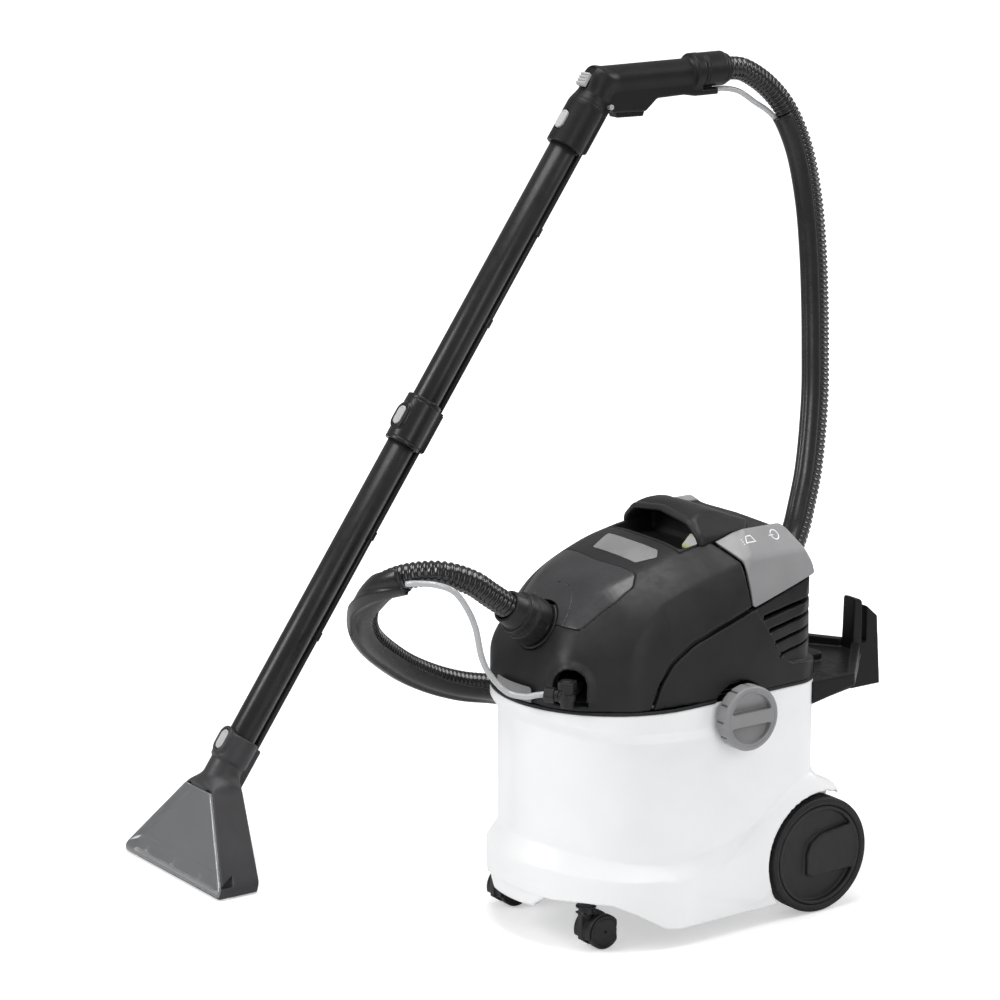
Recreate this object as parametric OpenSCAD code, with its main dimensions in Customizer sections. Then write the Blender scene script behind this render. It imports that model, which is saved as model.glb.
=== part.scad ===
// Spot extractor: wheeled spray and suction cleaner with hose, two wand tubes and a floor nozzle.
// Frame: Z up, floor at z = 0, hose inlet faces -Y, rear wheels and parking bracket at +Y.

/* [Container] */
// radius of the rounded front of the container at the rim
rim_radius = 142; // [140:0.5:144]
// radius of the two rear corners at the rim
rear_corner_radius = 42; // [38:1:46]
// height of the container rim above the floor
rim_height = 281; // [280:0.5:282]
// thickness of the container wall
wall = 3; // [2.5:0.5:4]
// how far the front of the wall steps in below the rim band
band_step = 9; // [6:1:10]
// height of the container floor plate above the floor
tank_floor = 92; // [90:1:94]

/* [Wheels] */
// outer diameter of a rear wheel
rear_wheel_diameter = 139; // [136:1:139]
// width of a rear wheel
rear_wheel_width = 28; // [24:1:29]
// diameter of the steel rear axle
axle_diameter = 10; // [8:1:12]
// diameter of a caster wheel
caster_diameter = 41; // [38:1:41]

/* [Motor head] */
// thickness of the head covers
cover_wall = 3; // [2:0.5:3.5]
// diameter of the two locking knobs
knob_diameter = 74; // [66:1:76]
// downward travel of the two switch panels
switch_travel = 2; // [1:0.5:2]

/* [Wand] */
// outer diameter of the suction tubes
tube_diameter = 35; // [34:0.5:35.5]
// wall thickness of the suction tubes
tube_wall = 1.5; // [1.2:0.1:2.5]
// width of the floor nozzle across the lip
nozzle_width = 226; // [200:2:230]
// outer diameter of the suction hose
hose_diameter = 30; // [26:1:31]

/* [Hidden] */
$fn = 64;

// colours of the plastics
white = [0.93, 0.93, 0.94];
black = [0.07, 0.07, 0.075];
charcoal = [0.16, 0.16, 0.17];
grey = [0.45, 0.46, 0.47];
light_grey = [0.66, 0.67, 0.68];
steel = [0.72, 0.73, 0.75];
clear = [0.80, 0.86, 0.88, 0.45];
lime = [0.80, 0.86, 0.10];

// plan shape: circle centre of the front and of the rear corners
front_y = -50;
corner_x = 93;
corner_y = 119;

// rear axle position and the wheel well
axle_y = 148;
axle_z = rear_wheel_diameter / 2;
wheel_outer_x = 144;
wheel_inner_x = wheel_outer_x - rear_wheel_width;
well_x = wheel_inner_x - 3;
well_radius = 76;

// caster swivel and axle position
caster_x = 88;
caster_y = -150;
caster_trail = 17;
caster_stem_top = 74;

// knob centre
knob_y = 28;
knob_z = 262;
knob_r = knob_diameter / 2;
knob_base_x = 144;
knob_thick = 20;
knob_shaft_r = 8;

// head levels
seal_top = rim_height + 3.5;
head_bottom = seal_top + 0.1;
plate_z = head_bottom + 1;

// small gap left around every part that moves, and around fitted parts
run_gap = 0.08;
fit_gap = 0.3;

// wand axis: lowest point of the visible tube and its lean
wand_x = -399.5;
wand_y = -315;
wand_z = 154;
wand_lean = 35.1;
tube_r = tube_diameter / 2;
tube_socket_r = tube_r + run_gap;
spigot = 36;
coupler_s = 410;
coupler_len = 62;
collar_s = 832;
collar_len = 74;

// grip of the handle, level along Y, and the trunnions its trigger turns on
grip_z = 915;
grip_r = 16.5;
grip_y0 = 214;
grip_y1 = 362;
trigger_y = 241;
trigger_z = 876;

// inlet axis on the head
inlet_y = -150;
inlet_z = 362;
inlet_tilt = 57;

// ---------- shared helpers ----------

// points along an arc
function arc(c, r, a0, a1, n) = [for (i = [0 : n])
    let (a = a0 + (a1 - a0) * i / n) [c[0] + r * cos(a), c[1] + r * sin(a)]];

// outline with a round front, straight sides and two rounded rear corners
module outline(front_r, rear_r, cx = corner_x, ry = corner_y) {
    side = atan2(ry - front_y, cx) - acos((front_r - rear_r) / norm([cx, ry - front_y]));
    polygon(concat(arc([0, front_y], front_r, side, -180 - side, 30),
        arc([-cx, ry], rear_r, 180 - side, 90, 6), arc([cx, ry], rear_r, 90, side, 6)));
}

// container outline grown or shrunk by an amount
module plan(grow = 0) {
    outline(rim_radius + grow, rear_corner_radius + grow);
}

// outline of the wall below the band: the front steps in, the rear hardly does
module plan_step(step = band_step, grow = 0) {
    outline(rim_radius - step + grow, rear_corner_radius - max(step, 0) / 4 + grow);
}

// slab of an outline between two heights
module slab(z0, z1) {
    translate([0, 0, z0]) linear_extrude(z1 - z0) children();
}

// extrusion of a Y-Z drawing across X
module across(x0, x1) {
    translate([x0, 0, 0]) rotate([90, 0, 90]) linear_extrude(x1 - x0) children();
}

// extrusion of an X-Z drawing along Y
module along(y0, y1) {
    translate([0, y1, 0]) rotate([90, 0, 0]) linear_extrude(y1 - y0) children();
}

// round bar along X
module bar_x(x0, x1, r) {
    translate([x0, 0, 0]) rotate([0, 90, 0]) cylinder(r = r, h = x1 - x0);
}

// part placed on the wand axis, local Z runs up the tube and local -Y is its front face
module on_wand() {
    translate([wand_x, wand_y, wand_z]) rotate([-wand_lean, 0, 0]) children();
}

// part placed on the inlet axis, local Z points out of the head
module on_inlet() {
    translate([0, inlet_y, inlet_z]) rotate([inlet_tilt, 0, 0]) children();
}

// left or right copy of a part drawn on the +X side
module side(s) {
    if (s > 0) children();
    else mirror([1, 0, 0]) children();
}

// oval push button, flat on its seat
module oval(len, wid, h) {
    linear_extrude(h) union() {
        for (m = [-1, 1]) translate([0, m * (len - wid) / 2]) circle(d = wid, $fn = 32);
        square([wid, len - wid], center = true);
    }
}

// ---------- container ----------

skirt_top = 98;
flare_top = 122;
band_low = 243;
band_chamfer = 14;

// drawing of the skirt seen from the side: lower edge drops behind the casters
module skirt_side() {
    polygon([[-200, skirt_top], [-200, 58], [-128, 56], [-110, 46], [-78, 25], [-62, 22],
        [82, 20], [82, skirt_top - 5], [60, skirt_top - 8], [-30, skirt_top - 12], [-62, skirt_top]]);
}

// drawing of the fender over the rear wheel seen from the side
module fender_side() {
    polygon([[-60, 92], [-24, 101], [14, 110], [48, 119], [72, 133], [87, 146], [110, 160],
        [142, 168], [178, 146], [182, 140], [176, 120], [60, 24], [-60, 24]]);
}

module container_outer() {
    slab(band_low + band_chamfer, rim_height) plan();
    slab(flare_top, band_low + 0.01) plan_step();
    for (i = [1 : 2])
        slab(band_low + (i - 1) * band_chamfer / 2, band_low + i * band_chamfer / 2 + 0.01)
            plan_step(band_step * (3 - i) / 3);
    for (i = [1 : 3])
        slab(flare_top - i * 8, flare_top - (i - 1) * 8 + 0.01)
            plan_step(band_step - i * (band_step + 4) / 4);
    slab(60, skirt_top) plan_step(-4);
}

module container_skirt() {
    intersection() {
        slab(18, skirt_top) outline(rim_radius + 5, 10, 136, 72);
        across(-160, 160) skirt_side();
    }
    for (s = [-1, 1]) side(s) across(110, 139.5) fender_side();
}

// space under the tank floor, open at the bottom
module underside() {
    difference() {
        slab(10, tank_floor - 4) union() {
            outline(rim_radius + 2, 8, 134, 72);
            translate([-110, 60]) square([220, 130]);
        }
        // blocks that carry the caster sockets
        for (s = [-1, 1]) translate([s * caster_x, caster_y, 53]) cylinder(r = 15, h = 60);
        // cheeks that carry the rear axle
        for (s = [-1, 1]) side(s) translate([88, axle_y - 14, axle_z - 12]) cube([40, 28, 60]);
    }
}

// lining between the tank space and the wheel
module wheel_well(extra) {
    translate([0, axle_y, axle_z]) bar_x(well_x - extra, 170, well_radius + extra);
}

module container() color(white) difference() {
    union() {
        difference() {
            union() {
                container_outer();
                container_skirt();
            }
            difference() {
                slab(tank_floor, rim_height + 1) plan_step(band_step, -wall);
                for (s = [-1, 1]) side(s) wheel_well(wall);
            }
            slab(band_low + band_chamfer, rim_height + 1) plan(-wall);
            underside();
        }
        // bosses for the two knobs
        for (s = [-1, 1]) side(s) translate([0, knob_y, knob_z]) bar_x(126, 139.2, 15);
        // front toe between the casters
        slab(44, 62) intersection() {
            plan_step(-4);
            translate([-52, -200]) square([104, 30]);
        }
    }
    for (s = [-1, 1]) side(s) {
        wheel_well(0);
        translate([0, knob_y, knob_z]) bar_x(120, 170, knob_shaft_r + run_gap);
        translate([0, knob_y, knob_z]) bar_x(139.2, 170, knob_r + 2.5);
        translate([0, axle_y, axle_z]) bar_x(80, 120, axle_diameter / 2 + run_gap);
        translate([caster_x, caster_y, 50]) cylinder(r = 9, h = 26);
        translate([caster_x, caster_y, 50]) cylinder(r = 12.1, h = 3);
    }
}

module rim_seal() color(black) difference() {
    slab(rim_height, seal_top) plan(0.6);
    slab(rim_height - 1, seal_top + 1) plan(-wall);
    for (s = [-1, 1]) side(s) translate([0, knob_y, knob_z]) bar_x(100, 170, knob_r + 3);
}

module open_tank(y0, y1, z1) {
    difference() {
        intersection() {
            slab(tank_floor + 0.5, z1) plan_step(band_step, -wall - 3);
            translate([-200, y0, 0]) cube([400, y1 - y0, 300]);
        }
        for (s = [-1, 1]) side(s) wheel_well(wall + 1);
        intersection() {
            slab(tank_floor + 3, z1 + 1) plan_step(band_step, -wall - 5.5);
            difference() {
                translate([-200, y0 + 2.5, 0]) cube([400, y1 - y0 - 5, 300]);
                for (s = [-1, 1]) side(s) wheel_well(wall + 3.5);
            }
        }
    }
}

module dirty_water_tank() color(light_grey) open_tank(-30, 170, 236);

module fresh_water_tank() color(clear) open_tank(-220, -31, 236);

module rear_axle() color(steel)
    translate([0, axle_y, axle_z]) bar_x(4 - wheel_outer_x, wheel_outer_x - 4, axle_diameter / 2);

// ---------- rear bracket ----------

tower_y = 300;
tower_depth = 34;
tower_half = 11;

module rear_bracket() color(charcoal) {
    difference() {
        union() {
            slab(236, 244) polygon([[-136, 142], [-136, 208], [-20, tower_y + 8], [20, tower_y + 8],
                [136, 208], [136, 142]]);
            for (s = [-1, 1]) side(s) intersection() {
                slab(236, 280) polygon([[139, 141], [139, 212], [16, tower_y + 6], [10, tower_y],
                    [128, 206], [128, 141]]);
                across(0, 145) polygon([[138, 236], [138, 277], [212, 270], [310, 248], [310, 220],
                    [170, 236]]);
            }
            translate([-26, 165, 243]) cube([52, 60, 22]);
            translate([-20, 224, 243]) cube([40, 30, 14]);
            for (s = [-1, 1]) translate([s * 18, 205, 264]) cylinder(r = 3, h = 10, $fn = 24);
        }
        slab(200, 300) plan(0.4);
    }
    // upright with the parking slot
    difference() {
        across(-tower_half, tower_half) polygon([[tower_y, 214], [tower_y + 4, 327],
            [tower_y + 12, 325], [tower_y + tower_depth + 6, 300], [tower_y + tower_depth + 12, 214]]);
        translate([-20, tower_y + 16, 272]) cube([40, 7, 80]);
        translate([-20, tower_y + 19.5, 272]) bar_x(-1, 41, 3.5);
    }
}

module bracket_screws() color(steel)
    for (s = [-1, 1]) translate([s * 60, 190, 244]) cylinder(r = 4.5, h = 3, $fn = 24);

// ---------- rear wheels ----------

module wheel_at(s) {
    translate([0, axle_y, axle_z]) side(s) children();
}

rim_r = 60;
shoulder_r = 65.5;

module tyre() color(black)
    translate([wheel_inner_x, 0, 0]) rotate([0, 90, 0]) rotate_extrude() polygon([[rim_r, 0],
        [shoulder_r, 0], [axle_z - 1, 4], [axle_z, 9], [axle_z, rear_wheel_width - 9],
        [axle_z - 1, rear_wheel_width - 4], [shoulder_r, rear_wheel_width], [rim_r, rear_wheel_width]]);

module hub() color(charcoal) difference() {
    union() {
        difference() {
            bar_x(wheel_inner_x, wheel_outer_x - 1, rim_r - 0.1);
            bar_x(wheel_outer_x - 7, wheel_outer_x + 1, 56);
            bar_x(wheel_inner_x - 1, wheel_inner_x + 14, 55);
        }
        bar_x(wheel_inner_x - 2, wheel_inner_x + 15, 11);
        // raised grip-shaped field in the recess
        intersection() {
            bar_x(wheel_outer_x - 8, wheel_outer_x - 2, 55.8);
            across(wheel_outer_x - 8, wheel_outer_x - 2) polygon([[60, -26], [-12, -26], [-17, -20],
                [-17, 4], [-12, 16], [4, 26], [60, 30]]);
        }
    }
    bar_x(wheel_inner_x - 3, wheel_outer_x - 3.9, axle_diameter / 2 + run_gap);
}

// ---------- casters ----------

module caster_at(s) {
    translate([s * caster_x, caster_y, 0]) children();
}

caster_r = caster_diameter / 2;
caster_pin_r = 3;
caster_wheel_w = 10.5;
caster_web = 4;

module caster_sockets() color(charcoal)
    for (s = [-1, 1]) caster_at(s) translate([0, 0, 51]) difference() {
        union() {
            cylinder(r = 8.9, h = 24);
            cylinder(r = 12, h = 1.9);
        }
        translate([0, 0, -1]) cylinder(r = 5.5 + run_gap, h = 25);
    }

module caster_fork(s) color(black) caster_at(s) {
    translate([0, 0, 40]) cylinder(r = 5.5, h = caster_stem_top - 40);
    translate([0, 0, 44]) cylinder(r = 9, h = 6.5);
    difference() {
        union() {
            translate([0, caster_trail, caster_r]) bar_x(-caster_web, caster_web, 15);
            translate([-caster_web, -9, caster_r - 8]) cube([2 * caster_web, 18, 32]);
            // hood over the twin wheels
            difference() {
                translate([0, caster_trail, caster_r]) bar_x(-15, 15, caster_r + 3.4);
                translate([0, caster_trail, caster_r]) bar_x(-16, 16, caster_r + 0.9);
                translate([-20, caster_trail - 1, -10]) cube([40, 60, 80]);
                translate([-20, -40, -10]) cube([40, 80, 24]);
            }
            translate([-caster_web, caster_trail - 23, caster_r - 6]) cube([2 * caster_web, 12, 12]);
        }
        translate([0, caster_trail, caster_r]) bar_x(-20, 20, caster_pin_r + run_gap);
    }
    translate([-9, -9, caster_r + 22]) cube([18, 18, 2]);
}

module caster_axle(s) color(steel)
    caster_at(s) translate([0, caster_trail, caster_r]) bar_x(-14, 14, caster_pin_r);

module caster_wheels(s) color(black)
    caster_at(s) translate([0, caster_trail, caster_r]) for (m = [-1, 1]) side(m) difference() {
        bar_x(caster_web + 0.5, caster_web + 0.5 + caster_wheel_w, caster_r);
        bar_x(caster_web, 14.2, caster_pin_r + run_gap);
    }

// ---------- motor head ----------

// drawing of the head seen from the side
module head_side(grow = 0) {
    offset(delta = grow) polygon([[-194, 240], [-190, 318], [-176, 348], [-141, 402],
        [-98, 430], [-41, 449], [0, 458], [30, 464], [118, 466], [130, 460], [145, 430],
        [156, 396], [163, 350], [166, 300], [166, 240]]);
}

// drawing of the head seen from the front
module head_front(grow = 0) {
    offset(delta = grow) polygon([[-150, 240], [-140, 330], [-130, 392], [-114, 436],
        [-84, 463], [-72, 455], [0, 457], [72, 455], [84, 463], [114, 436], [130, 392],
        [140, 330], [150, 240]]);
}

// radius of the rounded front of the head about the long axis through dome_z
dome_z = 283;
module dome_profile(grow = 0) intersection() {
    offset(delta = grow) polygon([[-20, -194], [94, -194], [98, -165], [113, -141], [146, -98],
        [168, -41], [177, 0], [182, 30], [191, 60], [216, 100], [216, 200], [-20, 200]]);
    translate([0, -220]) square([300, 460]);
}

module head_solid(grow = 0) intersection() {
    slab(head_bottom + min(grow, 0), 480) plan(grow);
    across(-170, 170) head_side(grow);
    along(-220, 200) head_front(grow);
    translate([0, 0, dome_z]) rotate([-90, 0, 0]) rotate_extrude($fn = 96) dome_profile(grow);
}

module head_skin() difference() {
    head_solid();
    head_solid(-cover_wall);
}

// side drawings of the regions of the head, split along the groove
module front_region() {
    polygon([[-230, 270], [-96, 270], [-93, 286], [-81, 314], [-62, 337], [-32, 355.5],
        [4, 368.5], [50, 383.5], [48, 432], [28, 456], [14, 458], [14, 500], [-230, 500]]);
}

module rear_region() {
    polygon([[-92, 270], [-89, 284], [-77, 311], [-58.5, 333], [-30, 350.5], [6, 363.5],
        [50, 377.5], [200, 416.5], [200, 270]]);
}

module panel_region() {
    polygon([[52.6, 384], [52.6, 432], [31, 460], [31, 480], [200, 480], [200, 422], [56, 382.5]]);
}

// outline of the switch panel seen from above, on the +X side
module panel_plan() {
    translate([75, 20]) square([80, 160]);
}

module knob_notch() {
    for (s = [-1, 1]) side(s) translate([0, knob_y, knob_z]) bar_x(100, 170, knob_r + 3);
}

module inlet_hole(r) {
    on_inlet() translate([0, 0, -60]) cylinder(r = r, h = 130);
}

// the spray connection sits in the front of the head, turned towards the +X side
elbow_turn = 34;
elbow_reach = 151;
elbow_z = 304;

// part placed at the spray connection: local -Y points out of the head, local -X along it
module at_elbow() {
    translate([0, front_y, elbow_z]) rotate([0, 0, elbow_turn]) translate([0, -elbow_reach, 0]) children();
}

// recess with a rounded top around the spray connection
module elbow_recess() {
    translate([0, front_y, 0]) rotate([90, 0, elbow_turn]) translate([0, 0, 104]) linear_extrude(50)
        union() {
            translate([0, 313]) circle(r = 20);
            translate([-20, head_bottom + 6]) square([40, 313 - head_bottom - 6]);
        }
}

module inset_cut(g) {
    translate([0, -96, 380]) linear_extrude(100) polygon([[-74 + g, -62 + g], [-66 + g, 14 - g],
        [-52 + g, 36 - g], [52 - g, 36 - g], [66 - g, 14 - g], [74 - g, -62 + g]]);
}

module head_front_cover() color(black) difference() {
    intersection() {
        head_skin();
        across(-170, 170) front_region();
    }
    knob_notch();
    inlet_hole(31);
    elbow_recess();
    intersection() {
        inset_cut(0);
        difference() {
            head_solid(1);
            head_solid(-1.8);
        }
    }
    intersection() {
        across(-70, 70) bowl_side(0);
        slab(400, 500) plan(0);
    }
}

// hand recess under the carry handle seen from the side
module bowl_side(g) {
    polygon([[-8 + g, 470], [-8 + g, 440 + g], [10, 430 + g], [58, 430 + g], [62, 436], [62, 470]]);
}

module inset_panel() color(charcoal) difference() {
    intersection() {
        inset_cut(fit_gap);
        difference() {
            head_solid(-0.2);
            head_solid(-1.7);
        }
    }
    inlet_hole(31.4);
    intersection() {
        across(-70, 70) bowl_side(0);
        slab(400, 500) plan(0);
    }
}

// four air outlet slots in each side of the rear cover
module vent_slots() {
    for (i = [0 : 3]) across(110, 160) translate([66 + 5 * i, 372 - 17 * i])
        polygon([[0, 0], [78 - 5 * i, 8], [78 - 5 * i, 14], [2, 6]]);
}

module head_rear_cover() color(charcoal) difference() {
    intersection() {
        head_skin();
        across(-170, 170) rear_region();
    }
    knob_notch();
    for (s = [-1, 1]) side(s) vent_slots();
}

module switch_panel(s) color(grey) side(s) difference() {
    intersection() {
        head_skin();
        across(0, 170) panel_region();
        slab(300, 500) panel_plan();
    }
    // spray and suction marks sunk in the top slope
    for (y = [72, 108]) translate([94, y, 446]) rotate([0, 26.57, 0]) translate([0, 0, -0.6])
        linear_extrude(4) mark_ring(6, 1.2);
}

module mark_ring(r, w) {
    difference() {
        circle(r = r, $fn = 24);
        circle(r = r - w, $fn = 24);
    }
}

module top_cap() color(black) {
    intersection() {
        head_skin();
        slab(300, 500) translate([-74.4, 66]) square([148.8, 110]);
        across(-170, 170) polygon([[64, 500], [64, 430], [151, 410], [200, 405], [200, 500]]);
    }
}

bar_top = 486;
handle_half = 74.8;

// strap over the hand recess, one bar on two feet
module carry_handle() color(black) difference() {
    intersection() {
        across(-handle_half, handle_half) polygon([[20, 440], [16, 466], [20, bar_top - 5],
            [27, bar_top], [38, bar_top - 1], [76, 474], [106, 463], [118, 459], [118, 440]]);
        along(0, 130) polygon([[-handle_half, 440], [-handle_half, 458], [-60, 479], [-48, bar_top],
            [48, bar_top], [60, 479], [handle_half, 458], [handle_half, 440]]);
    }
    along(0, 61) polygon([[-63, 420], [-63, 459], [-50, 476], [50, 476], [63, 459], [63, 420]]);
    across(-handle_half - 1, handle_half + 1) polygon([[61, 440], [61, 462], [78, 452], [78, 440]]);
    head_solid(0.1);
}

// bowl under the strap that leaves room for the fingers
module hand_recess() color(black) difference() {
    intersection() {
        across(-69.6, 69.6) bowl_side(0.4);
        head_solid(-0.5);
    }
    across(-66.6, 66.6) polygon([[-5, 500], [-5, 442], [11, 433.5], [59, 433.5], [59, 500]]);
    translate([18, 34, 420]) cube([26, 16, 30]);
}

module release_tab() color(lime)
    translate([18.4, 34.4, 429]) cube([25.2, 15.2, 7.5]);

module badge_plate() color(grey) intersection() {
    slab(400, 470) polygon([[-32, -56], [-46, -24], [50, -24], [62, -34], [50, -56]]);
    difference() {
        head_solid(1.5);
        head_solid(0.05);
    }
}

module front_label() color(light_grey) intersection() {
    difference() {
        slab(287, 306) plan(1);
        slab(286, 307) plan(0.1);
    }
    along(-220, -150) polygon([[-25, 287], [-25, 306], [33, 306], [36, 303], [36, 287]]);
}

module inlet_socket() color(black) on_inlet() difference() {
    translate([0, 0, -34]) cylinder(r = 30.8, h = 44);
    translate([0, 0, -35]) cylinder(r = 20, h = 10);
    translate([0, 0, -26]) cylinder(r = cuff_r + run_gap, h = 70);
}

module head_plate() color(charcoal) difference() {
    slab(plate_z, plate_z + 4) plan(-cover_wall - 4.5);
    knob_notch();
    translate([0, 60, 200]) cylinder(r = 38, h = 200);
    translate([0, -60, 200]) cylinder(r = 20, h = 200);
    elbow_recess();
}

module suction_motor() color(steel) translate([0, 60, plate_z + 44.5]) {
    cylinder(r = 48, h = 70);
    translate([0, 0, 70]) cylinder(r = 20, h = 12);
}

module fan_housing() color(grey) translate([0, 60, plate_z + 4.2]) difference() {
    cylinder(r = 62, h = 40);
    translate([0, 0, 3]) cylinder(r = 58, h = 34);
    translate([0, 0, -1]) cylinder(r = 30, h = 10);
}

module water_pump() color(grey) translate([-70, -70, plate_z + 4.2]) {
    cube([40, 60, 34]);
    translate([20, 60, 17]) rotate([-90, 0, 0]) cylinder(r = 12, h = 8);
}

module float_cage() color(white) translate([0, 60, 246]) {
    difference() {
        cylinder(r = 34, h = plate_z - 246.2);
        translate([0, 0, 3]) cylinder(r = 31, h = 60);
        for (a = [0 : 60 : 300]) rotate([0, 0, a]) translate([20, -7, 6]) cube([30, 14, 22]);
    }
}

// elbow on the head that takes the spray hose
module spray_elbow() color(charcoal) at_elbow() {
    translate([0, 0, -12]) cylinder(r = 8, h = 22, $fn = 32);
    translate([0, 0, 9.8]) cylinder(r = 10, h = 8, $fn = 32);
    translate([0, -4, 2]) rotate([-90, 0, 0]) cylinder(r = 6.5, h = 44, $fn = 32);
    rotate([0, -90, 0]) cylinder(r = 5, h = 24, $fn = 32);
}

module spray_nut() color(black) at_elbow() translate([-9, 0, 0]) rotate([0, -90, 0]) difference() {
    cylinder(r = 9.5, h = 17, $fn = 6);
    translate([0, 0, -1]) cylinder(r = 5 + run_gap, h = 19, $fn = 32);
}

module cover_screws() color(steel)
    for (s = [-1, 1]) for (y = [-120, 100])
        translate([s * 90, y, plate_z - 3]) cylinder(r = 4, h = 2.8, $fn = 24);

module lock_knob(s) color(grey) side(s) translate([0, knob_y, knob_z]) {
    difference() {
        bar_x(knob_base_x, knob_base_x + knob_thick, knob_r);
        difference() {
            bar_x(knob_base_x + 10, knob_base_x + knob_thick + 1, knob_r - 8);
            translate([knob_base_x, -knob_r, -8]) cube([30, knob_diameter, 16]);
        }
        for (a = [0 : 30 : 330]) rotate([a, 0, 0])
            translate([knob_base_x - 1, -1, knob_r - 1]) cube([14, 2, 4]);
    }
    bar_x(118, knob_base_x + 1, knob_shaft_r);
    translate([118, -6, 0]) cube([4, 12, 14]);
}

// ---------- hose ----------

// smooth curve through a list of points
function bend(p, i, t) =
    let (n = len(p), a = p[max(i - 1, 0)], b = p[i], c = p[min(i + 1, n - 1)], d = p[min(i + 2, n - 1)])
    0.5 * ((2 * b) + (c - a) * t + (2 * a - 5 * b + 4 * c - d) * t * t
    + (3 * b - a - 3 * c + d) * t * t * t);
function curve(p, k) = [for (i = [0 : len(p) - 2]) for (j = [0 : k - 1]) bend(p, i, j / k), p[len(p) - 1]];
function unit(v) = v / norm(v);
function lean_dir(q, i) = unit(q[min(i + 1, len(q) - 1)] - q[max(i - 1, 0)]);

// closed skin of a profile carried along a curve; side is the direction of the profile's X
module sweep(q, profile, side) {
    n = len(q);
    m = len(profile);
    pts = [for (i = [0 : n - 1])
        let (t = lean_dir(q, i), r = side[i], u = unit(r - t * (r * t)), v = cross(t, u))
        for (k = [0 : m - 1]) q[i] + u * profile[k][0] + v * profile[k][1]];
    walls = [for (i = [0 : n - 2]) for (k = [0 : m - 1]) each [
        [i * m + k, (i + 1) * m + k, (i + 1) * m + (k + 1) % m],
        [i * m + k, (i + 1) * m + (k + 1) % m, i * m + (k + 1) % m]]];
    first = [for (k = [0 : m - 1]) k];
    last = [for (k = [m - 1 : -1 : 0]) (n - 1) * m + k];
    polyhedron(pts, concat([first], walls, [last]), convexity = 8);
}

function ring(r, k) = [for (i = [0 : k - 1]) [r * cos(i * 360 / k), r * sin(i * 360 / k)]];

// centre line of the suction hose from the handle cuff round the far side to the inlet
hose_points = [[wand_x, 397, grip_z], [wand_x, 420, 914], [wand_x, 447, 909],
    [wand_x + 2, 483, 886], [-392, 511, 852], [-382, 529, 802],
    [-370, 536, 738], [-357, 534, 674], [-344, 528, 611], [-330, 519, 549],
    [-316, 508, 487], [-298, 487, 414], [-285, 466, 366], [-270, 437, 318], [-252, 388, 276],
    [-236, 320, 245], [-222, 240, 224], [-210, 150, 212], [-202, 60, 208], [-198, -20, 214],
    [-197, -85, 232], [-196, -131, 244], [-192, -180, 264], [-180, -230, 293], [-150, -287, 338],
    [-115, -315, 380], [-75, -321, 417], [-42, -309, 436], [-15, -280, 441], [-3, -247, 429],
    [0, -222, 411], [0, -190, 388]];
hose_curve = curve(hose_points, 2);
// side of the hose that carries the spray tube, turning evenly from one key direction to the next
side_keys = [[0, -0.5, -1], [-0.4, -0.75, -0.5], [-0.5, -0.85, 0.1], [-0.6, -0.3, 0.8], [-1, 0, 0],
    [-0.1, -0.1, -1], [0, -0.5, -0.9], [-0.4, -0.8, -0.2], [0.4, -0.5, -0.8], [0.5, -0.2, -0.8]];
side_keys_at = [0, 0.14, 0.34, 0.46, 0.56, 0.66, 0.75, 0.81, 0.87, 1];
hose_side = [for (i = [0 : len(hose_curve) - 1])
    let (f = i / (len(hose_curve) - 1))
    [for (k = [0 : 2]) lookup(f, [for (j = [0 : len(side_keys) - 1]) [side_keys_at[j], side_keys[j][k]]])]];
up_side = [for (i = [0 : len(hose_curve) - 1]) [1, 0.02, 0.03]];

hose_r = hose_diameter / 2;

module suction_hose() color(black)
    sweep(hose_curve, ring(hose_r - 1, 12), up_side);

// smooth C-shaped sleeve clipped over the hose
sheath_first = 8;
sheath_last = 54;
sheath_profile = concat(
    [for (a = [-78 : 26 : 78]) [(hose_r + 2.2 + (abs(a) < 30 ? 4 : 0)) * cos(a), (hose_r + 2.2) * sin(a)]],
    [for (a = [78 : -26 : -78]) [(hose_r + 0.4) * cos(a), (hose_r + 0.4) * sin(a)]]);

module hose_sheath() color(charcoal)
    sweep([for (i = [sheath_first : sheath_last]) hose_curve[i]], sheath_profile,
        [for (i = [sheath_first : sheath_last]) hose_side[i]]);

spray_points_low = [[-24, -319, 433], [-13, -312, 435], [2, -296, 434], [8, -277, 425],
    [6, -259, 404], [7, -247, 378], [9, -240, 343], [14, -231, 321], [27, -217, 302],
    [44, -204, 299], [54, -196, 302],
    [elbow_reach * sin(elbow_turn) - 26.5 * cos(elbow_turn),
     front_y - elbow_reach * cos(elbow_turn) - 26.5 * sin(elbow_turn), elbow_z]];
spray_points_high = [[wand_x, 397, 889], [wand_x, 418, 888], [wand_x, 440, 882], [wand_x, 464, 867],
    [wand_x + 2, 480, 851], [wand_x + 4, 491, 832]];

module spray_hose() color(steel) {
    low = curve(spray_points_low, 3);
    high = curve(spray_points_high, 3);
    sweep(low, ring(3.5, 8), [for (i = low) [0.2, 0.3, 1]]);
    sweep(high, ring(3.5, 8), [for (i = high) [1, 0, 0]]);
}

cuff_r = 25;

module hose_cuff() color(black) on_inlet() difference() {
    union() {
        translate([0, 0, -20]) cylinder(r = cuff_r, h = 31);
        translate([0, 0, 11]) cylinder(r = 28, h = 22);
        translate([0, 0, 33]) cylinder(r = 25, h = 10);
        translate([0, 0, 43]) cylinder(r = 19, h = 17);
    }
    translate([0, 0, -21]) cylinder(r = 16, h = 90);
}

// ---------- handle ----------

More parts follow.
